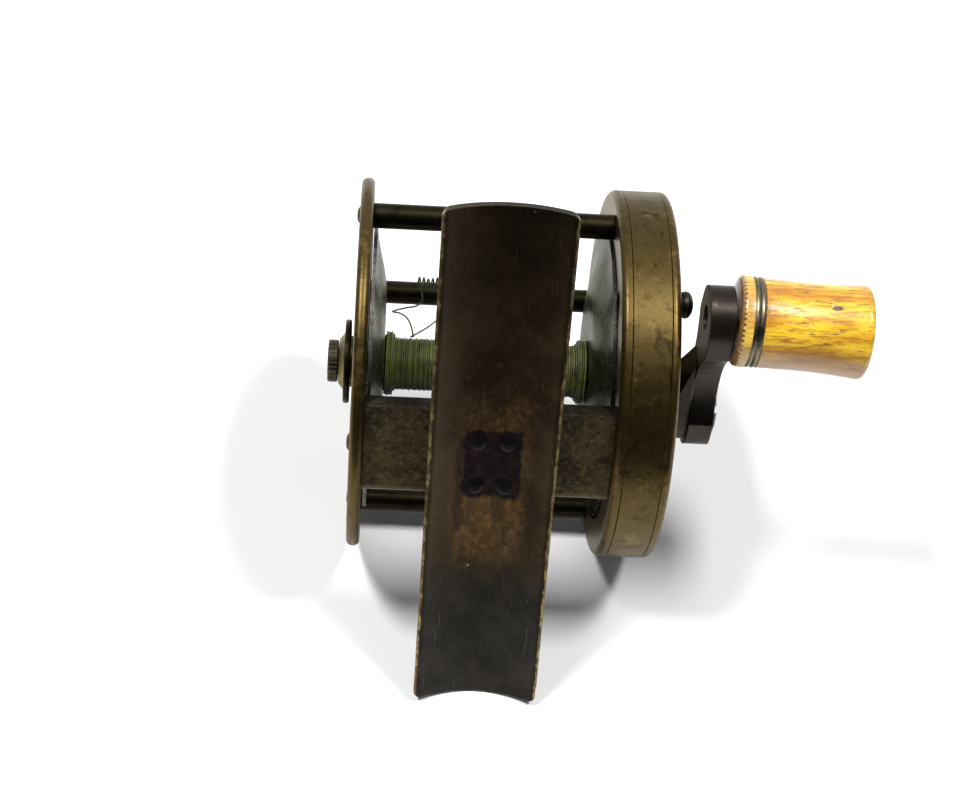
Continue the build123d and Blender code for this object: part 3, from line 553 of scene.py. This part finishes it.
def foot_material():
    """Dark brown bronze: golden worn edges, a stain round the rivets, warm patches beyond it, and
    painted reflections.
    """
    s = Shader("foot_bronze")
    x = s.along(ACROSS, at(0, 0, 0))
    v = s.along(UP_FOOT, SPOOL_AXIS)
    broad = s.noise(11, detail=6, roughness=0.6)
    fine = s.noise(1.3, detail=6, roughness=0.7)
    worn_down = s.noise(4.2, detail=7, roughness=0.68, distortion=0.3)
    ragged = s.times(s.minus(worn_down, 0.5), 14)
    colour = s.mix(s.ramp(broad, 0.38, 0.64), (0.027, 0.0165, 0.0062), (0.060, 0.038, 0.0155))
    colour = s.layer(colour, (0.075, 0.050, 0.027), s.ramp(fine, 0.52, 0.70), 0.45)
    # Painted reflection: the lower third is greyer, the top darker and the left edge lighter, as
    # the hollow mirrors what is round it.
    low = s.ramp(s.plus(v, ragged), -13, -24)
    painted_grey_reflection = s.mix(s.ramp(worn_down, 0.4, 0.62), (0.0125, 0.0105, 0.0082), (0.0215, 0.0185, 0.014))
    colour = s.mix(low, colour, painted_grey_reflection)
    # Painted dark reflection on the top of the foot.
    high = s.ramp(s.plus(v, ragged), 20, 36)
    colour = s.layer(colour, (0.010, 0.006, 0.0035), high, 0.55)
    # Painted light reflection along the left edge.
    left = s.times(s.ramp(s.strayed(x, ragged, 0.8), -0.5, -10.5), s.ramp(v, -34, 8))
    colour = s.layer(colour, (0.095, 0.068, 0.038), left, 0.45)
    colour = s.mix(warm_patch(s, x, v, ragged, fine), colour, (0.235, 0.125, 0.045))
    stained = rivet_stain(s, x, v, ragged, fine)
    colour = s.mix(stained, colour, (0.0075, 0.0048, 0.0072))
    # Dark blots, a few bright nicks and long scratches.
    blots = s.ramp(s.noise(2.6, detail=4, roughness=0.6, distortion=0.8), 0.62, 0.72)
    colour = s.layer(colour, (0.010, 0.0085, 0.0085), blots, 0.65)
    nicks = s.ramp(s.spots(5.2), 0.050, 0.030)
    colour = s.layer(colour, (0.30, 0.27, 0.22), nicks, 0.7)
    scratch_place = s.stretched((1.6, 0.10, 0.10), (0.35, 0.25, 0.1))
    scratches = s.ramp(s.noise(0.55, detail=2, place=scratch_place), 0.67, 0.72)
    colour = s.layer(colour, (0.12, 0.10, 0.075), scratches, 0.35)
    gold_clouds = s.ramp(s.noise(1.7, detail=5, roughness=0.65), 0.42, 0.62)
    gold = s.mix(gold_clouds, (0.15, 0.10, 0.040), (0.42, 0.31, 0.14))
    colour = s.mix(rubbed_edges(s, x), colour, gold)
    rough = s.plus(s.times(fine, 0.25), 0.30)
    rough = s.blend(stained, rough, 0.48)
    height = s.plus(s.times(fine, 0.6), s.times(scratches, -0.5))
    s.set(colour=colour, roughness=rough, metallic=0.85, normal=s.bump(height, 0.025))
    return s.material


SILVER_DULL = Vector((0.17, 0.165, 0.14))
SILVER_BRIGHT = Vector((0.42, 0.41, 0.36))
SILVER_TINT = (0.42, 0.42, 0.38, 1)


def flange_material(name, level):
    """Nickel silver off a lathe: fine rings that drag highlights out, dulled by age."""
    s = Shader(name)
    away = s.radial(SPOOL_AXIS)
    reach = s.vector("LENGTH", away)
    tangent = s.vector("NORMALIZE", s.vector("CROSS_PRODUCT", away, (1, 0, 0)))
    rings = s.noise_along(reach, 5.0, 4.0)
    broad = s.noise(6.5, detail=5, roughness=0.6)
    fine = s.noise(0.9, detail=5, roughness=0.7)
    dull = s.ramp(s.plus(s.times(broad, 0.6), s.times(fine, 0.4)), 0.40, 0.60)
    colour = s.mix(dull, tuple(SILVER_DULL * level), tuple(SILVER_BRIGHT * level))
    colour = s.layer(colour, (0.10, 0.095, 0.08), s.ramp(rings, 0.52, 0.62), 0.35)
    near = s.ramp(s.strayed(reach, broad, 5), 10.5, 7.5)
    colour = s.layer(colour, (0.035, 0.040, 0.022), near, 0.75)
    s.set(colour=colour, roughness=s.plus(s.times(fine, 0.24), 0.15), metallic=0.95,
          streaky=0.55, tangent=tangent, tint=SILVER_TINT,
          normal=s.bump(s.strayed(rings, fine, 0.35), 0.03))
    return s.material


# Each metal's look, and the CAD nodes that are made of it.
METALS = {
    "aged_brass": (
        dict(bare=(0.225, 0.155, 0.045), aged=(0.084, 0.057, 0.018), dark=(0.014, 0.0095, 0.004),
             roughness=0.38),
        ("tail_plate", "head_plate", "gear_case_wall", "gear_case_cover")),
    "dark_bronze": (
        dict(bare=(0.070, 0.054, 0.020), aged=(0.017, 0.0135, 0.0065), dark=(0.004, 0.0035, 0.003),
             roughness=0.36, cover=0.35, wear=0.4),
        ("top_pillar", "rear_pillar", "bottom_pillar", "bearing_disc", "tail_plate_screws",
         "cover_screws")),
    "rivet_iron": (
        dict(bare=(0.05, 0.045, 0.04), aged=(0.014, 0.012, 0.014), dark=(0.006, 0.005, 0.007),
             roughness=0.45, cover=0.2, wear=0.3),
        ("foot_rivets",)),
    "bearing_brass": (
        dict(bare=(0.34, 0.27, 0.13), aged=(0.15, 0.12, 0.055), dark=(0.03, 0.024, 0.013),
             roughness=0.38),
        ("tail_bearing", "bearing_collar", "head_bearing", "gear_pivot_bearing",
         "spindle_end_bearing", "crank_bearing", "case_posts")),
    "cap_brass": (
        dict(bare=(0.17, 0.135, 0.075), aged=(0.055, 0.046, 0.030), dark=(0.012, 0.010, 0.008),
             roughness=0.42, grain=0.5),
        ("bearing_cap",)),
    "gear_brass": (
        dict(bare=(0.62, 0.47, 0.20), aged=(0.40, 0.29, 0.11), dark=(0.08, 0.05, 0.02),
             roughness=0.30),
        ("pinion", "drive_gear", "check_wheel")),
    "black_iron": (
        dict(bare=(0.12, 0.095, 0.070), aged=(0.027, 0.0215, 0.017), dark=(0.009, 0.007, 0.006),
             roughness=0.36, cover=0.35, wear=0.5, metallic=0.8, depth=0.012, round_edges=0.45),
        ("crank_arm", "crank_screw", "check_button")),
    "oiled_steel": (
        dict(bare=(0.50, 0.49, 0.47), aged=(0.30, 0.29, 0.28), dark=(0.10, 0.08, 0.07),
             roughness=0.30),
        ("spool_spindle", "crank_shaft", "handle_pin", "check_lever", "check_pivot",
         "check_spring", "check_spring_screw", "head_plate_screws")),
    "ring_metal": (
        dict(bare=(0.40, 0.36, 0.25), aged=(0.18, 0.16, 0.11), dark=(0.03, 0.026, 0.018),
             roughness=0.34, grain=0.5),
        ("handle_rings",)),
}


def dress_metals():
    for name, (look, nodes) in METALS.items():
        dress(patina(name, **look), *nodes)
    dress(block_material(), "foot_block")
    dress(flange_material("tail_flange_silver", 0.75), "tail_flange", "spool_arbor")
    # Painted shade: the head flange is a darker copy of the tail flange's silver.
    dress(flange_material("head_flange_silver", 0.38), "head_flange")


# ---------------------------------------------------------------- bone and line

RIM_MARKS = 52      # dark marks round the base disc's rim, and the notches cut in it
RIM_NOTCHES = 58


def handle_sides():
    """Two directions square to the handle's line and to each other."""
    one = (AWAY - HANDLE_LINE * AWAY.dot(HANDLE_LINE)).normalized()
    return one, HANDLE_LINE.cross(one)


def cut_face(s, colour, face):
    """Bone with its cut face, which is brown and speckled, and the marks on the rim beside it."""
    along = s.along(HANDLE_LINE, HANDLE_FOOT)
    one, two = handle_sides()
    angle = s.math("ARCTAN2", s.along(two, HANDLE_FOOT), s.along(one, HANDLE_FOOT))
    ragged = s.times(s.noise(1.0, detail=3), 5)
    marks = s.math("SINE", s.plus(s.times(angle, RIM_MARKS), ragged))
    rim = s.times(s.band(along, face + 0.3, face + 0.62, 0.08), s.ramp(marks, 0.0, 0.5))
    pale = s.mix(0.22, colour, (0.85, 0.62, 0.22))
    speckled = s.mix(s.ramp(s.noise(0.5, detail=4), 0.4, 0.65),
                     (0.19, 0.095, 0.028), (0.33, 0.18, 0.055))
    colour = s.mix(s.ramp(along, face + 0.42, face + 0.30), pale, speckled)
    return s.layer(colour, (0.060, 0.028, 0.010), rim, 0.9)


def bone_material(name, face=None):
    """Polished bone, yellow with brown grain and dark pores, browner underneath as painted shade.
    A cut face lies at face millimetres along the handle's line."""
    s = Shader(name)
    grain_place = s.stretched((0.15, 1.0, 1.0))
    streaks = s.noise(0.62, detail=6, roughness=0.66, place=grain_place, distortion=0.35)
    broad = s.noise(3.2, detail=4, place=s.stretched((0.28, 1.0, 1.0)))
    clouds = s.ramp(broad, 0.36, 0.62)
    painted_shade_brown = s.mix(clouds, (0.21, 0.095, 0.014), (0.32, 0.16, 0.026))
    yellow = s.mix(clouds, (0.54, 0.245, 0.010), (0.88, 0.57, 0.036))
    # Painted shade: the bone is browner and darker underneath and yellow on top, by height.
    height = s.along(UPWARD, HANDLE_FOOT)
    colour = s.mix(s.ramp(height, -3.5, 5.0), painted_shade_brown, yellow)
    colour = s.layer(colour, (0.37, 0.14, 0.016), s.ramp(streaks, 0.46, 0.60), 0.76)
    dashes = s.ramp(s.noise(0.42, detail=3, place=s.stretched((0.16, 1.0, 1.0))), 0.58, 0.67)
    colour = s.layer(colour, (0.20, 0.085, 0.014), dashes, 0.75)
    pores = s.ramp(s.spots(5.0, place=s.stretched((0.55, 1.0, 1.0))), 0.115, 0.075)
    pores = s.times(pores, s.ramp(s.noise(2.0, detail=3), 0.36, 0.46))
    colour = s.layer(colour, (0.045, 0.022, 0.012), pores, 0.9)
    if face is not None:
        colour = cut_face(s, colour, face)
    relief = s.minus(s.times(streaks, -0.4), s.plus(dashes, pores))
    s.set(colour=colour, roughness=0.28, normal=s.bump(relief, 0.03), coat=0.5,
          coat_roughness=0.07, subsurface=0.12)
    s.bsdf.inputs["Subsurface Scale"].default_value = 0.0012
    s.bsdf.inputs["Subsurface Radius"].default_value = (1.0, 0.55, 0.2)
    return s.material


RIB_PITCH = 0.86    # the wound line's turns lie in loose groups, which show as ribs
RIB_SWAY = 0.7
RIB_DRIFT = 1.3


def line_material(name, light, mid, dark, under=None):
    """Dressed green line: each turn a little different, dark where dirt has gathered, rib crests
    painted lighter as a highlight, and, given an under colour, painted shade below the spool's
    axis.
    """
    s = Shader(name)
    place = s.along(ACROSS, at(0, 0, 0))
    turns = s.noise_along(place, 1.15, 3.0)
    patchy = s.noise(2.1, detail=5, roughness=0.65)
    # Painted highlight and shade: the rib crests are painted lighter and the grooves between them
    # darker.
    sway = s.times(s.math("SINE", s.times(place, RIB_SWAY)), RIB_DRIFT)
    rib_highlight = s.math("SINE", s.plus(s.times(place, 2 * math.pi / RIB_PITCH), sway))
    lit = s.plus(s.times(turns, 0.6), s.times(rib_highlight, 0.13))
    colour = s.mix(s.ramp(lit, 0.20, 0.42), mid, light)
    colour = s.mix(s.ramp(patchy, 0.48, 0.66), colour, dark)
    # Painted shade: the winding darkens below the spool's axis.
    if under is not None:
        height = s.along(UPWARD, SPOOL_AXIS)
        colour = s.layer(colour, under, s.ramp(height, 2.5, -2.5), 0.9)
    fuzz = s.noise(0.12, detail=3)
    s.set(colour=colour, roughness=0.52, normal=s.bump(fuzz, 0.03))
    return s.material


# ---------------------------------------------------------------- detailed pieces

BODY_OF = {node: body for body, nodes in RECORD["behaviour"]["bodies"].items() for node in nodes}


def settle(made, node, sharp):
    """Shade a piece, keeping edges past sharp degrees, and put it in its CAD node's place."""
    bm = bmesh.new()
    bm.from_mesh(made.data)
    bmesh.ops.recalc_face_normals(bm, faces=bm.faces)
    bm.to_mesh(made.data)
    bm.free()
    made.data.polygons.foreach_set("use_smooth", [True] * len(made.data.polygons))
    made.data.set_sharp_from_angle(angle=math.radians(sharp))
    made.data.update()
    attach(made, BODY_OF[node])
    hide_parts(node)


def new_piece(name, verts, faces, material, node):
    """A piece from vertices and faces, which stands for a CAD node."""
    data = bpy.data.meshes.new(name)
    data.from_pydata([tuple(v) for v in verts], [], faces)
    data.validate()
    data.materials.append(material)
    made = bpy.data.objects.new(name, data)
    bpy.context.scene.collection.objects.link(made)
    settle(made, node, sharp=40)


# The nodes whose sharp edges are rounded, and how wide in millimetres.
SOFT_EDGES = {
    "crank_screw": 0.10, "foot_block": 0.12, "check_button": 0.08, "gear_case_wall": 0.06,
    "gear_case_cover": 0.06, "bearing_disc": 0.08, "bearing_collar": 0.08,
    "tail_plate_screws": 0.06, "cover_screws": 0.05, "handle_rings": 0.05, "crank_bearing": 0.08,
}
WELD = 1e-6                         # metres
FLAT_ANGLE = math.radians(0.6)      # faces closer in direction than this become one
SHARP_ANGLE = math.radians(32)
ROUND_STEPS = 3


def soften(node, width):
    """A copy of a CAD node with its sharp edges rounded, which stands for it."""
    source = frame["nodes"][node]
    bm = bmesh.new()
    bm.from_mesh(source.data)
    bmesh.ops.remove_doubles(bm, verts=bm.verts, dist=WELD)
    bmesh.ops.dissolve_limit(bm, angle_limit=FLAT_ANGLE, verts=bm.verts, edges=bm.edges)
    joined = [edge for edge in bm.edges if len(edge.link_faces) == 2]
    sharp = [edge for edge in joined if edge.is_convex and edge.calc_face_angle() > SHARP_ANGLE]
    bmesh.ops.bevel(bm, geom=sharp, offset=width * MM, segments=ROUND_STEPS, profile=0.5,
                    affect="EDGES", clamp_overlap=True)
    data = bpy.data.meshes.new(node + "_soft")
    bm.to_mesh(data)
    bm.free()
    for material in source.data.materials:
        data.materials.append(material)
    made = bpy.data.objects.new(node + "_worn", data)
    bpy.context.scene.collection.objects.link(made)
    settle(made, node, sharp=50)
    weighted = made.modifiers.new("weighted_normals", "WEIGHTED_NORMAL")
    weighted.keep_sharp = True


def ring_faces(rings, around, first=0, closed=True):
    """Faces between rings of around vertices each. Closed, the last ring joins the first."""
    faces = []
    for i in range(rings if closed else rings - 1):
        here = first + i * around
        ahead = first + (i + 1) % rings * around
        for k in range(around):
            after = (k + 1) % around
            faces.append((here + k, here + after, ahead + after, ahead + k))
    return faces


TUBE_SIDES = 6


def tube(path, radius):
    """Vertices and faces of a tube along points; its frame turns smoothly from one to the next."""
    verts = []
    side = None
    for i, here in enumerate(path):
        ahead = (path[min(i + 1, len(path) - 1)] - path[max(i - 1, 0)]).normalized()
        if side is None:
            side = ahead.orthogonal().normalized()
        side = (side - ahead * side.dot(ahead)).normalized()
        other = ahead.cross(side)
        for k in range(TUBE_SIDES):
            angle = 2 * math.pi * k / TUBE_SIDES
            verts.append(here + (side * math.cos(angle) + other * math.sin(angle)) * radius)
    faces = ring_faces(len(path), TUBE_SIDES, closed=False)
    faces.append(tuple(range(TUBE_SIDES - 1, -1, -1)))
    last = (len(path) - 1) * TUBE_SIDES
    faces.append(tuple(range(last, last + TUBE_SIDES)))
    return verts, faces


WINDING_R = 4.45        # where the winding is level
WINDING_END_R = 5.45    # where it is heaped against a flange
HEAP_WIDTH = 1.15       # from the flange to where the heap begins to fall
HEAP_FALL = 0.95        # from there to where the winding is level
SHOULDER_DROP = 0.45    # how far the heap is rounded down at the flange itself
SHOULDER_WIDTH = 0.55
ARBOR_R = 3.6
THREAD_R = LINE_R + 0.02
THREAD_PITCH = 2 * THREAD_R + 0.015
THREAD_STEPS = 26       # points in each turn
OUTER_DEPTH = 0.08      # how deep the two layers of turns lie under the winding's surface
INNER_DEPTH = 0.42
RIB_HEIGHT = 0.07
RIB_ROOM = 0.08         # keeps the ribs' crests under the winding's surface
JITTER_ALONG = 0.05     # how far a turn strays from its place, either way in all
JITTER_OUT = 0.02
CORE_DEPTH = 0.62       # the solid core under the turns, and how clear it is of the spool
CORE_GAP = 0.02
CORE_ROWS = 60
CORE_SIDES = 48


def heaped(reach):
    """The winding's outer radius at a distance from a flange: heaped against it, then level."""
    share = min(max((reach - HEAP_WIDTH) / HEAP_FALL, 0.0), 1.0)
    smooth = share * share * (3 - 2 * share)
    shoulder = SHOULDER_DROP * max(0.0, 1 - reach / SHOULDER_WIDTH) ** 2
    return WINDING_END_R + (WINDING_R - WINDING_END_R) * smooth - shoulder


def turns_path(start, end):
    """The line's path between two stations: turn beside turn out, and back over them in groups."""
    rng = random.Random(11)
    low, high = start + THREAD_R, end - THREAD_R
    path = []
    for first, last, depth in ((low, high, INNER_DEPTH), (high, low, OUTER_DEPTH)):
        turns = int(abs(last - first) / THREAD_PITCH)
        offsets = [rng.uniform(-0.5, 0.5) for _ in range(turns + 2)]
        for turn in range(turns):
            for step in range(THREAD_STEPS):
                done = step / THREAD_STEPS
                place = first + (last - first) * (turn + done) / turns
                jitter = offsets[turn] + (offsets[turn + 1] - offsets[turn]) * done
                sway = RIB_DRIFT * math.sin(place * RIB_SWAY)
                group = math.sin(2 * math.pi * place / RIB_PITCH + sway)
                place = min(max(place + JITTER_ALONG * jitter, low), high)
                surface = heaped(min(place - start, end - place)) - THREAD_R - depth
                out = surface + RIB_HEIGHT * group + JITTER_OUT * jitter - RIB_ROOM
                angle = 2 * math.pi * done
                path.append(at(place, out * math.cos(angle), out * math.sin(angle)))
    return path


def wind_line():
    """The line on the spool: two layers of turns over a solid core."""
    start, end = stations("wound_line")
    verts, faces = tube(turns_path(start, end), THREAD_R * MM)
    first = len(verts)
    low, high = start + CORE_GAP, end - CORE_GAP
    rings = [(low, ARBOR_R - CORE_GAP)]
    for row in range(CORE_ROWS + 1):
        place = low + (high - low) * row / CORE_ROWS
        rings.append((place, heaped(min(place - start, end - place)) - CORE_DEPTH))
    rings.append((high, ARBOR_R - CORE_GAP))
    for place, size in rings:
        for k in range(CORE_SIDES):
            angle = 2 * math.pi * k / CORE_SIDES
            verts.append(at(place, size * math.cos(angle), size * math.sin(angle)))
    faces += ring_faces(len(rings), CORE_SIDES, first)
    # The last colour is painted shade under the winding.
    wound = line_material("wound_line", (0.105, 0.112, 0.012), (0.040, 0.056, 0.008),
                          (0.018, 0.030, 0.009), under=(0.003, 0.009, 0.007))
    new_piece("line_winding", verts, faces, wound, "wound_line")


# The foot, in millimetres, and how it is worn.
FOOT_LENGTH = 85.0
FOOT_CORNER = 1.2
FOOT_THICK = 1.3
FOOT_EDGE = 0.8         # the flat facet along each side of the hollow
HOLLOW_R = 17.0
PAD_HALF = 7.5          # the pad between foot and block
PAD_TOP = 7.0
PAD_RISE = 4.6          # its start, counted from the foot's front
PAD_CHAMFER = 0.12
BLOCK_FRONT = -27.4
RIM_WIDTH = 0.9         # how far the wear reaches in from the long edges
TIP_WIDTH = 0.8         # and from the ends
CHIP_FROM = 0.66        # the noise past which an edge is chipped
FRAY = 0.03
SADDLE = FOOT_FRONT - math.sqrt(HOLLOW_R ** 2 - (FOOT_HALF - FOOT_EDGE) ** 2)


def noise_at(place, size, seed):
    """Smooth noise from 0 to 1 at a place in millimetres."""
    return noise.noise(Vector(place) / size + Vector((seed, seed * 1.7, 0))) * 0.5 + 0.5


def foot_columns():
    """Shares of the foot's half width, closer together at its edges."""
    edge = [-1 + 0.024 * k for k in range(4)]
    middle = [-0.918 + 1.836 * k / 56 for k in range(57)]
    return edge + middle + [-share for share in reversed(edge)]


def foot_rows():
    """Distances from the foot's lower end, closer together at both ends."""
    tip = [0.0, 0.04, 0.12, 0.25, 0.42, 0.62, 0.85, 1.1, 1.3]
    middle = [tip[-1] + (FOOT_LENGTH - 2 * tip[-1]) * k / 190 for k in range(1, 190)]
    return tip + middle + [FOOT_LENGTH - row for row in reversed(tip)]


def foot_point(column, row):
    """The foot's front and back points in a column and row: nicked and frayed at its edges."""
    v = row - FOOT_LENGTH / 2
    inset = min(row, FOOT_LENGTH - row)
    width = FOOT_HALF
    if inset < FOOT_CORNER:
        width -= FOOT_CORNER - math.sqrt(FOOT_CORNER ** 2 - (FOOT_CORNER - inset) ** 2)
    x = column * width
    place = (x, 0, v)
    hollow = SADDLE + math.sqrt(HOLLOW_R ** 2 - min(abs(x), FOOT_HALF - FOOT_EDGE) ** 2)
    u_back = SADDLE + math.sqrt((HOLLOW_R + FOOT_THICK) ** 2 - x ** 2)
    rim = max(0.0, 1 - (FOOT_HALF - abs(x)) / RIM_WIDTH)
    tip = max(0.0, 1 - inset / TIP_WIDTH)
    chip = max(0.0, noise_at(place, 2.3, 3 if x > 0 else 9) - CHIP_FROM)
    fray = FRAY * (noise_at(place, 0.55, 21) - 0.5)
    uneven = 0.035 * (noise_at(place, 5.0, 33) - 0.5) + 0.012 * (noise_at(place, 1.1, 41) - 0.5)
    u_front = max(hollow, FOOT_FRONT) + rim * (0.7 * chip + fray) + 0.9 * tip * chip + uneven
    slip = rim * (0.5 * chip + fray) * (-1 if x > 0 else 1)
    return at(x + slip, u_front, v), at(x + slip, u_back - 0.5 * rim * chip, v)


def shape_foot():
    """The foot as a fine mesh: a hollow strip with rounded corners, and the pad on its back."""
    columns, rows = foot_columns(), foot_rows()
    points = [foot_point(column, row) for row in rows for column in columns]
    verts = [front_point for front_point, _ in points] + [back_point for _, back_point in points]
    faces = []
    count, back = len(columns), len(points)
    for i in range(len(rows) - 1):
        for j in range(count - 1):
            a = i * count + j
            faces.append((a, a + 1, a + count + 1, a + count))
            faces.append((back + a, back + a + count, back + a + count + 1, back + a + 1))
        for j in (0, count - 1):
            a = i * count + j
            faces.append((a, a + count, back + a + count, back + a))
    for i in (0, len(rows) - 1):
        for j in range(count - 1):
            a = i * count + j
            faces.append((a, a + 1, back + a + 1, back + a))
    first = len(verts)
    for u in (FOOT_FRONT + PAD_RISE, BLOCK_FRONT - PAD_CHAMFER, BLOCK_FRONT):
        inset = 0.0 if u < BLOCK_FRONT else PAD_CHAMFER
        for x, v in ((-1, -1), (1, -1), (1, 1), (-1, 1)):
            verts.append(at(x * (PAD_HALF - inset), u, v * (PAD_TOP - inset)))
    faces += ring_faces(3, 4, first, closed=False)
    faces.append((first, first + 3, first + 2, first + 1))
    faces.append((first + 8, first + 9, first + 10, first + 11))
    new_piece("foot_worn", verts, faces, foot_material(), "foot")


# The handle's stations, radii and counts.
HANDLE_START = 35.35    # the arm's outer face, where the handle's line is counted from
HANDLE_BORE = 2.04
HANDLE_SIDES = 192
DISC_FACE = 35.85
DISC_TOP = 37.75
KNOB_START = 39.4       # past the rings
KNOB_WAIST = 46.5
KNOB_SWELL = 55.0
KNOB_END = 56.0
KNOB_STEPS = 56
KNOB_R = 6.80           # at the waist
KNOB_END_R = 7.25
DISC_PROFILE = [
    (DISC_FACE, HANDLE_BORE), (DISC_FACE, 5.4), (35.86, 6.35), (35.95, 6.62), (36.18, 6.83),
    (36.45, 6.93), (36.9, 6.98), (37.4, 7.0), (37.68, 6.98), (DISC_TOP, 6.9),
    (DISC_TOP, HANDLE_BORE),
]


def lathe(profile, ripple):
    """A round form about the handle's line; ripple(along, radius, angle) moves a point out."""
    one, two = handle_sides()
    verts = []
    for along, radius in profile:
        for k in range(HANDLE_SIDES):
            angle = 2 * math.pi * k / HANDLE_SIDES
            out = radius + ripple(along, radius, angle)
            place = HANDLE_FOOT + HANDLE_LINE * ((along - HANDLE_START) * MM)
            verts.append(place + (one * math.cos(angle) + two * math.sin(angle)) * (out * MM))
    return verts, ring_faces(len(profile), HANDLE_SIDES)


def disc_ripple(along, radius, angle):
    """The disc isn't quite round, and its rim is notched."""
    if radius < 4:
        return 0.0
    notch = 0.5 + 0.5 * math.cos(RIM_NOTCHES * angle + 1.5 * math.sin(3 * angle))
    notched = 0.16 * notch ** 3 if abs(along - 36.18) < 0.2 else 0.0
    return 0.05 * math.sin(2 * angle + 0.6) - notched


def bone_ripple(along, radius, angle):
    """The knob isn't quite round, and has shallow grooves along its grain."""
    if radius < 6:
        return 0.0
    place = Vector((along * 0.16, math.cos(angle) * radius, math.sin(angle) * radius))
    groove = max(0.0, noise.noise(place * 1.9) - 0.15)
    return 0.06 * math.sin(2 * angle + 1) + 0.03 * math.sin(3 * angle) - 0.035 * groove


def knob_profile():
    """The knob: a step into the rings, a waist, a swelling end with a rounded lip, and its bore."""
    lip = KNOB_START + 0.12
    profile = [(DISC_TOP, HANDLE_BORE), (DISC_TOP, 5.6), (KNOB_START, 5.6), (KNOB_START, 6.72),
               (lip, 6.86)]
    for k in range(1, KNOB_STEPS + 1):
        along = lip + (KNOB_SWELL - lip) * k / KNOB_STEPS
        if along < KNOB_WAIST:
            radius = KNOB_R + 0.08 * ((KNOB_WAIST - along) / (KNOB_WAIST - KNOB_START)) ** 2
        else:
            share = (along - KNOB_WAIST) / (KNOB_SWELL - KNOB_WAIST)
            radius = KNOB_R + (KNOB_END_R - KNOB_R) * share ** 1.7
        profile.append((along, radius))
    for k in range(1, 9):
        angle = math.pi / 2 * k / 8
        profile.append((KNOB_SWELL + (KNOB_END - KNOB_SWELL) * math.sin(angle),
                        KNOB_END_R - 0.9 * (1 - math.cos(angle))))
    return profile + [(KNOB_END, 5.0), (KNOB_END, 3.5), (KNOB_END - 1.2, 3.5),
                      (KNOB_END - 1.2, HANDLE_BORE)]


def shape_handle():
    disc_bone = bone_material("bone_disc", DISC_FACE - HANDLE_START)
    new_piece("bone_disc", *lathe(DISC_PROFILE, disc_ripple), disc_bone, "handle_base_disc")
    knob_bone = bone_material("bone_knob")
    new_piece("bone_knob", *lathe(knob_profile(), bone_ripple), knob_bone, "handle_knob")


add_camera()
loose_line = add_loose_line()
add_world()
add_floor()
for light_name, (light_place, light_power) in LIGHTS.items():
    add_light(light_name, light_place, light_power)
bpy.context.scene.view_settings.view_transform = "Standard"
dress_metals()
loose_line.data.materials.append(
    line_material("loose_line", (0.12, 0.20, 0.075), (0.075, 0.135, 0.050), (0.035, 0.06, 0.03)))
wind_line()
shape_foot()
shape_handle()
for soft_node, soft_width in SOFT_EDGES.items():
    soften(soft_node, soft_width)
